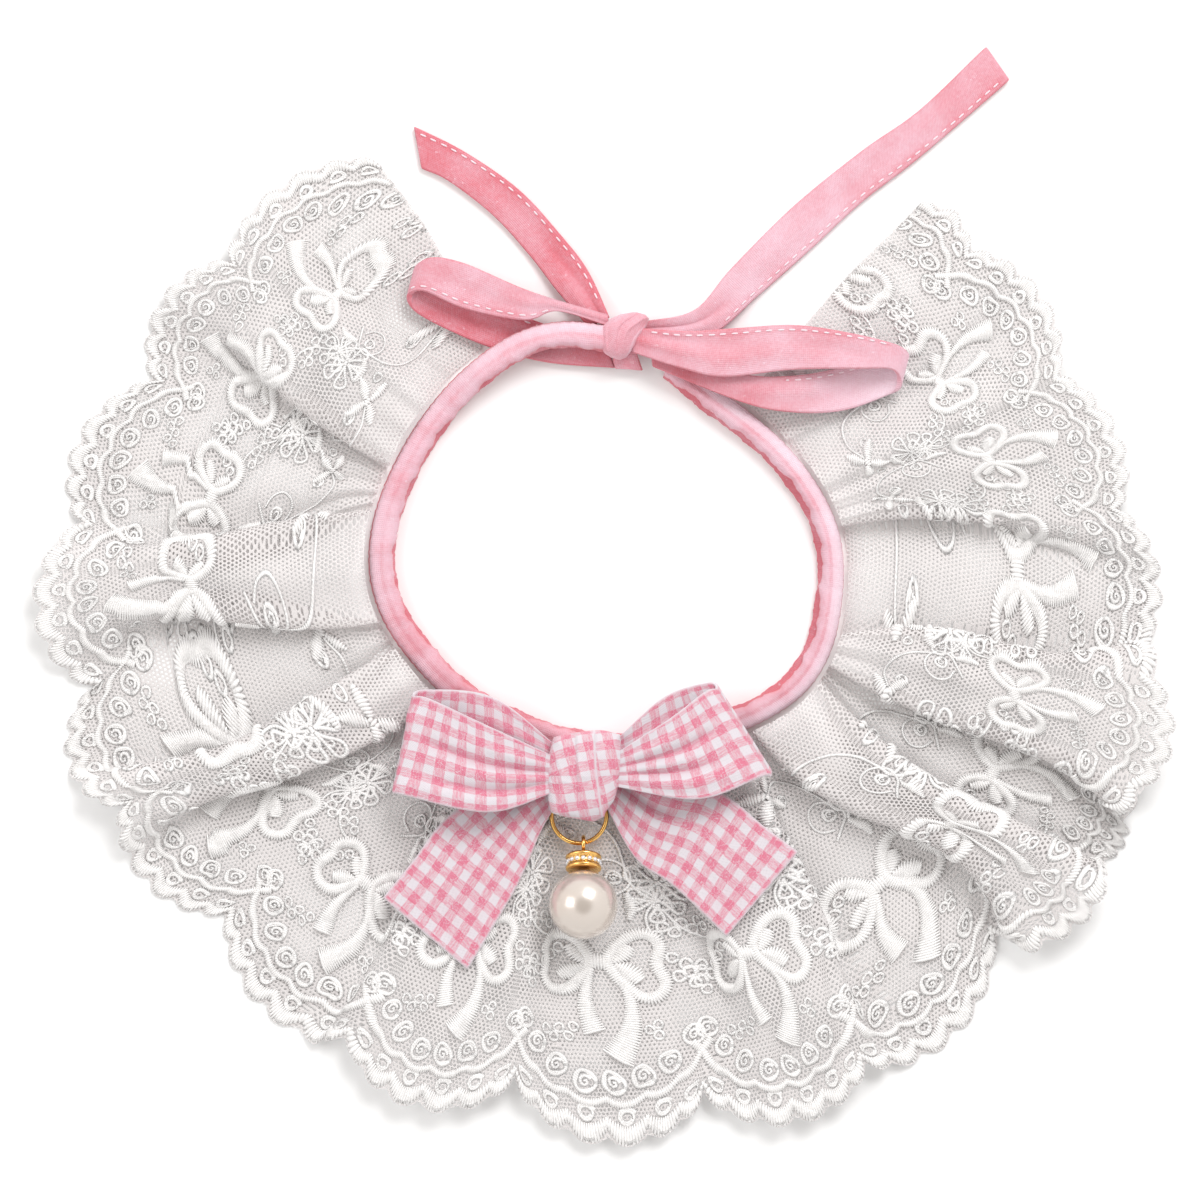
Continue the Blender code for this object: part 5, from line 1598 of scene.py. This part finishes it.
def edge_loops():
    """An open scribbled loop inside each bump of the hem."""
    turn = np.linspace(0.3, 0.3 + 3.8 * math.pi, 34)
    radius = np.linspace(*LOOP_RADII, len(turn))
    lines = []
    for index, middle in enumerate(0.5 * (HEM_EDGES[1:] + HEM_EDGES[:-1])):
        depth = LOOP_INSET - STRIP_DEPTH + LOOP_STAGGER * (-1) ** index
        lines.append((LOOP_HALVES, False, swung(middle * REPEAT, depth, radius, turn, LOOP_FLATNESS)))
    return lines


def stitched_piece(name, lines, style, look, lace, thread, seed, mapped=True):
    """Lines of one repeat, stitched in a style, spread along the strip and laid on the lace."""
    step, sides, uneven = STYLES[style]
    tree = satin_stitches() if style == "satin" else round_lines()
    obj = settled(run_nodes(edge_object(name, lines), tree, {
        "Step": look.step * step, "Sides": sides, "Relief": look.relief, "Unevenness": uneven,
        "Thread": look.step * SATIN_THREAD, "Seed": seed, "Material": thread}))
    if mapped:
        points = np.empty(len(obj.data.vertices) * 3, np.float32)
        obj.data.vertices.foreach_get("co", points)
        laid = on_strip(points.reshape(-1, 3).astype(float))
        obj.data.vertices.foreach_set("co", laid.astype(np.float32).ravel())
    return settled(run_nodes(obj, wrap_on_lace(), {
        "Repeats": len(VALLEYS) - 1, "Repeat Length": REPEAT * MM, "Map Size": STRIP_UV,
        "Lift": STITCH_LIFT * MM, "Lace": lace, "Material": thread}), thread)


# ---------------- operators

class COLLAR_OT_lace(bpy.types.Operator):
    """Lay the gathered sheet of net on the ruffle's solid"""

    bl_idname = "collar.lace"
    bl_label = "Lace Net"

    def execute(self, context):
        shares = np.linspace(0.0, 1.0, NET_ROWS + 1)
        points, places, net = [], [], []
        for v in shares.tolist():
            u = strip_columns(v)
            row = lace_points(u, v)
            points.append(row)
            places.append(u)
            net.append(np.stack([net_places(u, row, v), np.hypot(row[:, 0], row[:, 1])], axis=-1) * MM)
        places = np.array(places)
        depths = np.broadcast_to(shares[:, None] * STRIP_DEPTH, places.shape)
        lift = crease_lift(LACE_CREASES, shares[:, None], places, LACE_FADE)
        grid = np.array(points)
        grid = grid - grid_normals(grid) * lift[..., None]
        grid[..., 2] = np.maximum(grid[..., 2], NET_CLEARANCE)
        obj = mesh_object("lace_net", to_world(grid), grid_faces(*places.shape)[:, ::-1],
                          {"strip": np.stack([places, depths], axis=-1) * MM / STRIP_UV, "net": net},
                          {"up": -grid_normals(grid)})
        rides(obj, "collar", "lace", "lace_ruffle", material=net_material(context.scene.collar_lace))
        return {"FINISHED"}


class COLLAR_OT_embroidery(bpy.types.Operator):
    """Stitch the satin bows, flowers, rings and hem cords on to the net"""

    bl_idname = "collar.embroidery"
    bl_label = "Embroidery"

    @classmethod
    def poll(cls, context):
        return "lace_net" in bpy.data.objects

    def execute(self, context):
        look = context.scene.collar_lace
        lace = bpy.data.objects["lace_net"]
        thread = thread_material(look)
        satin = [drawn(line) for line in SATIN_LINES]
        cords = [drawn(line) for line in CORD_LINES]
        for ring in RINGS:
            cords += ring_lines(ring)
        for flower in FLOWERS:
            cords += flower_lines(flower)
        inner = [drawn(line) for line in INNER_LINES]
        hem = hem_lines()
        pieces = [stitched_piece(name, lines, style, look, lace, thread, seed, mapped)
                  for name, lines, style, seed, mapped in (
                      ("lace_bows", satin, "satin", 3, True),
                      ("lace_bow_padding", slim(satin), "padding", 4, True),
                      ("lace_cords", cords, "cord", 5, True),
                      ("lace_inner_cord", inner, "satin", 7, True),
                      ("lace_inner_padding", slim(inner), "padding", 8, True),
                      ("lace_hem", hem, "satin", 9, False),
                      ("lace_hem_padding", slim(hem), "padding", 10, False),
                      ("lace_edge_loops", edge_loops(), "cord", 11, False))]
        for piece in pieces:
            rides(piece, "collar", "lace")
        return {"FINISHED"}


class COLLAR_OT_neckband(bpy.types.Operator):
    """Roll the neckband from its fold of bias tape"""

    bl_idname = "collar.neckband"
    bl_label = "Neckband"

    def execute(self, context):
        angles = np.linspace(BAND_START, BAND_END, BAND_STATIONS)
        over = 0.5 + 0.5 * np.cos(math.pi * np.clip((angles - LOOP_CROSSING) / LIFT_REACH, 0.0, 1.0))
        middle = neck_radius(angles) + BAND_WIDTH / 2.0
        length = lengths_along(polar(middle, angles, 0.0 * angles))
        pucker, ripple = (sum(size * np.sin(length * pace + start) for pace, start, size in waves)
                          for waves in (BAND_PUCKERS, BAND_RIPPLES))
        rim, ledge, shade, pale = (np.interp(angles, *table)
                                   for table in (BAND_RIM, BAND_LEDGE, BAND_SHADE, BAND_SHEEN))
        rings, maps, tones = [], [], []
        around, before = 0.0, BAND_SECTION[0]
        for point in BAND_SECTION:
            side = point.side - point.rim * rim + point.ledge * ledge
            inner = max(0.0, -point.side)
            wave = LEDGE_PUCKER * pucker if point.ledge else SIDE_PUCKER * np.roll(pucker, PUCKER_SHIFT)
            wave = SIDE_RIPPLE * ripple + wave * inner
            radius = middle + side * BAND_WIDTH / 2.0 + wave * (point.high > 0.0)
            swell = 1.0 + HIGH_PUCKER * pucker * (0.4 + inner) + HIGH_RIPPLE * ripple
            lift = point.high * BAND_HEIGHT * swell
            rings.append(polar(radius, angles, BAND_LIFT * over + np.maximum(lift, 0.0)))
            # A tone below 0 is painted sheen, shown as far as the angle lets it; painted shade by angle and
            # along the puckers is added to every point but the deepest.
            tone = point.tone * pale if point.tone < 0.0 else point.tone
            tones.append(tone + (shade + PUCKER_SHADE * pucker) * (point.tone < 0.9))
            around += math.hypot((point.side - before.side) * BAND_WIDTH / 2.0,
                                 (point.high - before.high) * BAND_HEIGHT)
            maps.append(np.stack([length, np.full_like(length, around)], axis=-1) * MM)
            before = point
        obj = mesh_object("neckband_cloth", to_world(rings), grid_faces(*np.shape(tones), rows_meet=True),
                          {"cloth": maps}, {"tone": tones})
        wall = obj.modifiers.new("wall", "SOLIDIFY")
        wall.thickness = BAND_WALL * MM
        wall.offset = -1.0
        settled(obj, tape_material(context.scene.collar_tape))
        rides(obj, "collar", "neckband", "neckband")
        return {"FINISHED"}


def seam_line(seam):
    """A row of topstitching on the upper face of its strip, in the part's millimetres."""
    grid, _, places, _ = strip_grid(seam.strip, *STRIP_STEPS["tie"])
    normals = grid_normals(grid) * upright_sign(seam.strip)
    low, share = divmod(seam.place * (grid.shape[1] - 1), 1.0)
    low = int(low)
    up = normals[:, low]
    line = grid[:, low] * (1.0 - share) + grid[:, low + 1] * share
    line = line + up * np.where(up[:, 2:3] < 0, -1.0, 1.0) * (TIE_WALL / 2.0 + SEAM_LIFT)
    return to_world(line[(places >= seam.start) & (places <= seam.end)]) / MM


class COLLAR_OT_ties(bpy.types.Operator):
    """Fold the two ties into tails and loops and sew their edges"""

    bl_idname = "collar.ties"
    bl_label = "Ties"

    def execute(self, context):
        look = context.scene.collar_tape
        material, white = tape_material(look), topstitch_material(look)
        for name in ("tie_tail_left", "tie_tail_right", "tie_loop_left", "tie_loop_right"):
            obj = strip_shell(name, *STRIP_STEPS["tie"], TIE_WALL, material, EDGE_TONE)
            rides(obj, "collar", "ties", name)
            strip_sheet(name)
            lines = [((SEAM_HALF,), False, seam_line(seam)) for seam in SEAMS if seam.strip == name]
            stitches = run_nodes(edge_object(name + "_stitches", lines), topstitches(), {
                "Pitch": look.pitch, "Length": look.length, "Thread": SEAM_THREAD * MM, "Material": white})
            rides(settled(stitches, white), "collar", "ties")
        return {"FINISHED"}


def pleat_relief(pleats, x, y):
    """Height and whiteness that a knot's folded edges give at places on its face."""
    lift, white = np.zeros_like(x), np.zeros_like(x)
    for pleat in pleats:
        table = smooth_line(pleat.points, False, 6)
        nearest = np.full_like(x, 1e9)
        side, along = np.zeros_like(x), np.zeros_like(x)
        for index, (start, end) in enumerate(zip(table, table[1:])):
            run = end - start
            share = ((x - start[0]) * run[0] + (y - start[1]) * run[1]) / (run @ run)
            held = np.clip(share, 0.0, 1.0)
            dx, dy = x - start[0] - held * run[0], y - start[1] - held * run[1]
            away = np.hypot(dx, dy)
            closer = away < nearest
            cross = run[0] * dy - run[1] * dx
            nearest = np.where(closer, away, nearest)
            side = np.where(closer, np.sign(cross) * away, side)
            along = np.where(closer, (index + held) / (len(table) - 1), along)
        side = side * (1.0 if pleat.step > 0 else -1.0)
        rise = 1.0 / (1.0 + np.exp(-side / PLEAT_RISE))
        ends = np.clip(np.minimum(along, 1.0 - along) / PLEAT_FADE + PLEAT_END, 0.0, 1.0)
        lift += abs(pleat.step) * rise * np.exp(-np.maximum(side, 0.0) / pleat.reach) * ends
        white = np.maximum(white, pleat.white * np.exp(-((side - WHITE_PLACE) / WHITE_WIDTH) ** 2))
    return lift, white


def knot_object(name, knot, pleats, material, tone, segments=160, rings=90):
    """A knot: a rounded block on its own outline, with the folded edges of the wrapped cloth."""
    rise = math.pi * np.arange(rings + 1)[:, None] / rings
    turns = 2.0 * math.pi * np.arange(segments)[None, :] / segments
    x, y = np.sin(rise) * np.cos(turns), np.sin(rise) * np.sin(turns)
    z = np.repeat(np.cos(rise), segments, axis=1)
    flat = np.maximum(np.hypot(x, y), 1e-6) / np.maximum(np.maximum(abs(x), abs(y)), 1e-6)
    x, y = x * flat**KNOT_SQUARENESS, y * flat**KNOT_SQUARENESS
    heights = [row.y for row in knot.rows]
    py = heights[0] + (heights[-1] - heights[0]) * 0.5 * (1.0 + np.clip(y, -1.0, 1.0))
    left = np.interp(py, heights, [row.left for row in knot.rows])
    right = np.interp(py, heights, [row.right for row in knot.rows])
    px = 0.5 * (left + right) + 0.5 * (right - left) * x
    lift, white = pleat_relief(pleats, px, py)
    tall = np.sign(z) * abs(z) ** KNOT_BULGE
    height = knot.height * np.maximum(0.0, 0.5 + 0.5 * tall - KNOT_FOOT) / (1.0 - KNOT_FOOT)
    face = height * KNOT_FACE + (lift - KNOT_DROP) * np.clip(3.0 * z, 0.0, 1.0)
    height = np.where(z > 0, face, height)
    drape = py + np.where(py > 0, 1.0, -1.0) * (knot.height - height) * 0.5
    across, along = math.cos(math.radians(knot.cloth_turn)), math.sin(math.radians(knot.cloth_turn))
    maps = np.stack([px * across - drape * along, px * along + drape * across], axis=-1) * MM
    points = np.stack([knot.x + px, knot.y + py, knot.bottom + height], axis=-1)
    faces = grid_faces(rings + 1, segments, columns_meet=True)[:, TURNED_OVER]
    obj = mesh_object(name, to_world(points), faces, {"cloth": maps}, {"tone": tone - WHITE_TONE * white})
    obj.data.materials.append(material)
    return sealed(obj)


class COLLAR_OT_back_knot(bpy.types.Operator):
    """Wrap the knot that holds the two ties"""

    bl_idname = "collar.back_knot"
    bl_label = "Back Knot"

    def execute(self, context):
        material = tape_material(context.scene.collar_tape)
        knot = knot_object("back_knot_cloth", BACK_KNOT, BACK_PLEATS, material, KNOT_TONE)
        rides(knot, "collar", "ties", "back_knot")
        tongue = strip_shell("knot_tongue", *STRIP_STEPS["knot"], TONGUE_WALL, material, EDGE_TONE)
        rides(tongue, "collar", "ties")
        return {"FINISHED"}


class COLLAR_OT_bow(bpy.types.Operator):
    """Tie the gingham bow from its loops, tails and knot"""

    bl_idname = "collar.bow"
    bl_label = "Gingham Bow"

    def execute(self, context):
        material = gingham_material(context.scene.collar_bow)
        for name in ("bow_loop_left", "bow_loop_right", "bow_tail_left", "bow_tail_right"):
            obj = strip_shell(name, *STRIP_STEPS["bow"], RIBBON_WALL, material, RIBBON_EDGE_TONE)
            rides(obj, "collar", "gingham", name)
            strip_sheet(name)
        knot = knot_object("bow_knot_cloth", BOW_KNOT, BOW_PLEATS, material, 0.0)
        rides(knot, "collar", "gingham", "bow_knot")
        return {"FINISHED"}


def turned_mesh(name, outline, matrix, around, hollow=False):
    """A turned shape from (radius, height) pairs in millimetres round its own Z.

    A hollow one is a ring: its last pair meets its first.
    """
    turns = np.linspace(0.0, 2.0 * math.pi, around, endpoint=False)
    points = [matrix @ (Vector((radius * math.cos(t), radius * math.sin(t), height)) * MM)
              for radius, height in outline for t in turns]
    return sealed(mesh_object(
        name, points, grid_faces(len(outline), around, rows_meet=hollow, columns_meet=True)))


def wire_ring(name, radius, wire, matrix, around, across):
    """A ring of round wire with its place in its mesh."""
    sides = np.linspace(0.0, 2.0 * math.pi, across, endpoint=False)
    return turned_mesh(name, swung(radius, 0.0, wire / 2.0, sides), matrix, around, hollow=True)


def drop_places():
    """Where the eye, rondelle and pearl sit along the drop's own axis, and the hinge's matrix."""
    cap = EYE_PLACE - EYE_RADIUS - EYE_WIRE / 2.0 - SEAM_GAP - CAP_THICKNESS / 2.0
    pearl = cap - CAP_THICKNESS / 2.0 - SEAM_GAP - PEARL_DIAMETER / 2.0
    slope = math.asin((PEARL_REST - RING_HEIGHT) / -pearl)
    hinge = Vector(to_world([RING_X + HINGE_SHIFT, RING_Y - RING_RADIUS, RING_HEIGHT]))
    return cap, pearl, Matrix.Translation(hinge) @ Matrix.Rotation(-slope, 4, "X")


class COLLAR_OT_drop(bpy.types.Operator):
    """Hang the ring, eye, rondelle and pearl"""

    bl_idname = "collar.drop"
    bl_label = "Pearl Drop"

    def execute(self, context):
        look = context.scene.collar_drop
        gold, stones = gold_material(look), stone_material()
        flat = Matrix.Translation(Vector(to_world([RING_X, RING_Y, RING_HEIGHT])))
        ring = wire_ring("jump_ring_wire", RING_RADIUS, RING_WIRE, flat, *RING_SIDES)
        rides(ring, "collar", "gold", "jump_ring", material=gold)
        cap_place, pearl_place, hinge = drop_places()
        eye_matrix, cap_matrix, pearl_matrix = (
            hinge @ Matrix.Translation((0.0, place * MM, 0.0)) @ Matrix.Rotation(math.pi / 2.0, 4, axis)
            for place, axis in ((EYE_PLACE, "Y"), (cap_place, "X"), (pearl_place, "X")))
        eye = wire_ring("drop_eye_wire", EYE_RADIUS, EYE_WIRE, eye_matrix, *EYE_SIDES)
        rides(eye, "drop", "gold", "drop_eye", material=gold)
        half, radius = CAP_THICKNESS / 2.0, CAP_DIAMETER / 2.0
        upper = [(radius - inset, half * share) for inset, share in CAP_RIM]
        lower = [(reach, -height) for reach, height in reversed(upper)]
        spool = [(0.0, half), *upper, (radius - CAP_WAIST, 0.0), *lower, (0.0, -half)]
        rims = turned_mesh("rondelle_rims", spool, cap_matrix, CAP_SIDES)
        rides(rims, "drop", "gold", "drop_cap", material=gold)
        gems = settled(run_nodes(mesh_object("rondelle_stones", [(0.0, 0.0, 0.0)], []), stone_ring(), {
            "Count": look.stones, "Radius": (radius - STONE_INSET) * MM, "Stone": STONE_RADIUS * MM,
            "Material": stones}), stones)
        gems.data.transform(cap_matrix)
        rides(gems, "drop", "stones")
        bead = [(PEARL_DIAMETER / 2.0 * math.sin(t), PEARL_DIAMETER / 2.0 * math.cos(t))
                for t in np.linspace(0.0, math.pi, PEARL_RINGS)]
        pearl = turned_mesh("pearl_bead", bead, pearl_matrix, PEARL_SIDES)
        rides(pearl, "drop", "pearl", "pearl", material=pearl_material(look))
        return {"FINISHED"}


class COLLAR_OT_stage(bpy.types.Operator):
    """Set the pale floor, the soft light and the camera straight overhead"""

    bl_idname = "collar.stage"
    bl_label = "Stage"

    def execute(self, context):
        look = context.scene.collar_stage
        scene = context.scene
        corners = [(-1, -1, 0), (1, -1, 0), (1, 1, 0), (-1, 1, 0)]
        floor = mesh_object("floor", np.array(corners) * FLOOR_REACH, [(0, 1, 2, 3)])
        floor.data.materials.append(floor_material(look))
        world = bpy.data.worlds.new("soft_room")
        world.use_nodes = True
        _, _, up = parts_of(put(world.node_tree, "ShaderNodeTexCoord")["Generated"])
        sky = blend(ramp(up, 0.80, 0.97), (1.0, 0.995, 0.99), (0.30, 0.26, 0.22))
        feed(world.node_tree.nodes["Background"], {"Color": sky, "Strength": look.room})
        scene.world = world
        for name, (place, size, power) in LIGHTS.items():
            light = bpy.data.lights.new(name, "AREA")
            light.size = size
            light.energy = power
            lamp = linked(name, light)
            lamp.location = place
            lamp.rotation_euler = (-Vector(place)).to_track_quat("-Z", "Y").to_euler()
        camera = bpy.data.cameras.new("camera")
        camera.lens = look.lens
        camera.sensor_width = SENSOR_WIDTH
        scene.camera = linked("camera", camera)
        scene.camera.location = (*CAMERA_PLACE, look.view_width * look.lens / SENSOR_WIDTH + CAMERA_RISE)
        scene.view_settings.view_transform = "Standard"
        return {"FINISHED"}


class COLLAR_PT_panel(bpy.types.Panel):
    """The collar's settings and the steps that make it"""

    bl_idname = "COLLAR_PT_panel"
    bl_label = "Lace Pet Collar"
    bl_space_type = "VIEW_3D"
    bl_region_type = "UI"
    bl_category = "Collar"

    def draw(self, context):
        for title, settings, steps in STEPS:
            box = self.layout.box()
            box.label(text=title)
            group = getattr(context.scene, settings)
            for name in group.__annotations__:
                box.prop(group, name)
            for step in steps:
                box.operator(step.bl_idname)


STEPS = (
    ("Cotton tape", "collar_tape", (COLLAR_OT_neckband, COLLAR_OT_ties, COLLAR_OT_back_knot)),
    ("Lace", "collar_lace", (COLLAR_OT_lace, COLLAR_OT_embroidery)),
    ("Bow", "collar_bow", (COLLAR_OT_bow,)),
    ("Drop", "collar_drop", (COLLAR_OT_drop,)),
    ("Stage", "collar_stage", (COLLAR_OT_stage,)),
)
SETTINGS = {
    "collar_tape": TapeSettings,
    "collar_lace": LaceSettings,
    "collar_bow": BowSettings,
    "collar_drop": DropSettings,
    "collar_stage": StageSettings,
}


def register():
    for name, group in SETTINGS.items():
        bpy.utils.register_class(group)
        setattr(bpy.types.Scene, name, bpy.props.PointerProperty(type=group))
    for _, _, steps in STEPS:
        for step in steps:
            bpy.utils.register_class(step)
    bpy.utils.register_class(COLLAR_PT_panel)


def unregister():
    bpy.utils.unregister_class(COLLAR_PT_panel)
    for _, _, steps in STEPS:
        for step in steps:
            bpy.utils.unregister_class(step)
    for name, group in SETTINGS.items():
        delattr(bpy.types.Scene, name)
        bpy.utils.unregister_class(group)


def main():
    register()
    for _, _, steps in STEPS:
        for step in steps:
            family, name = step.bl_idname.split(".")
            getattr(getattr(bpy.ops, family), name)()


if __name__ == "__main__":
    main()
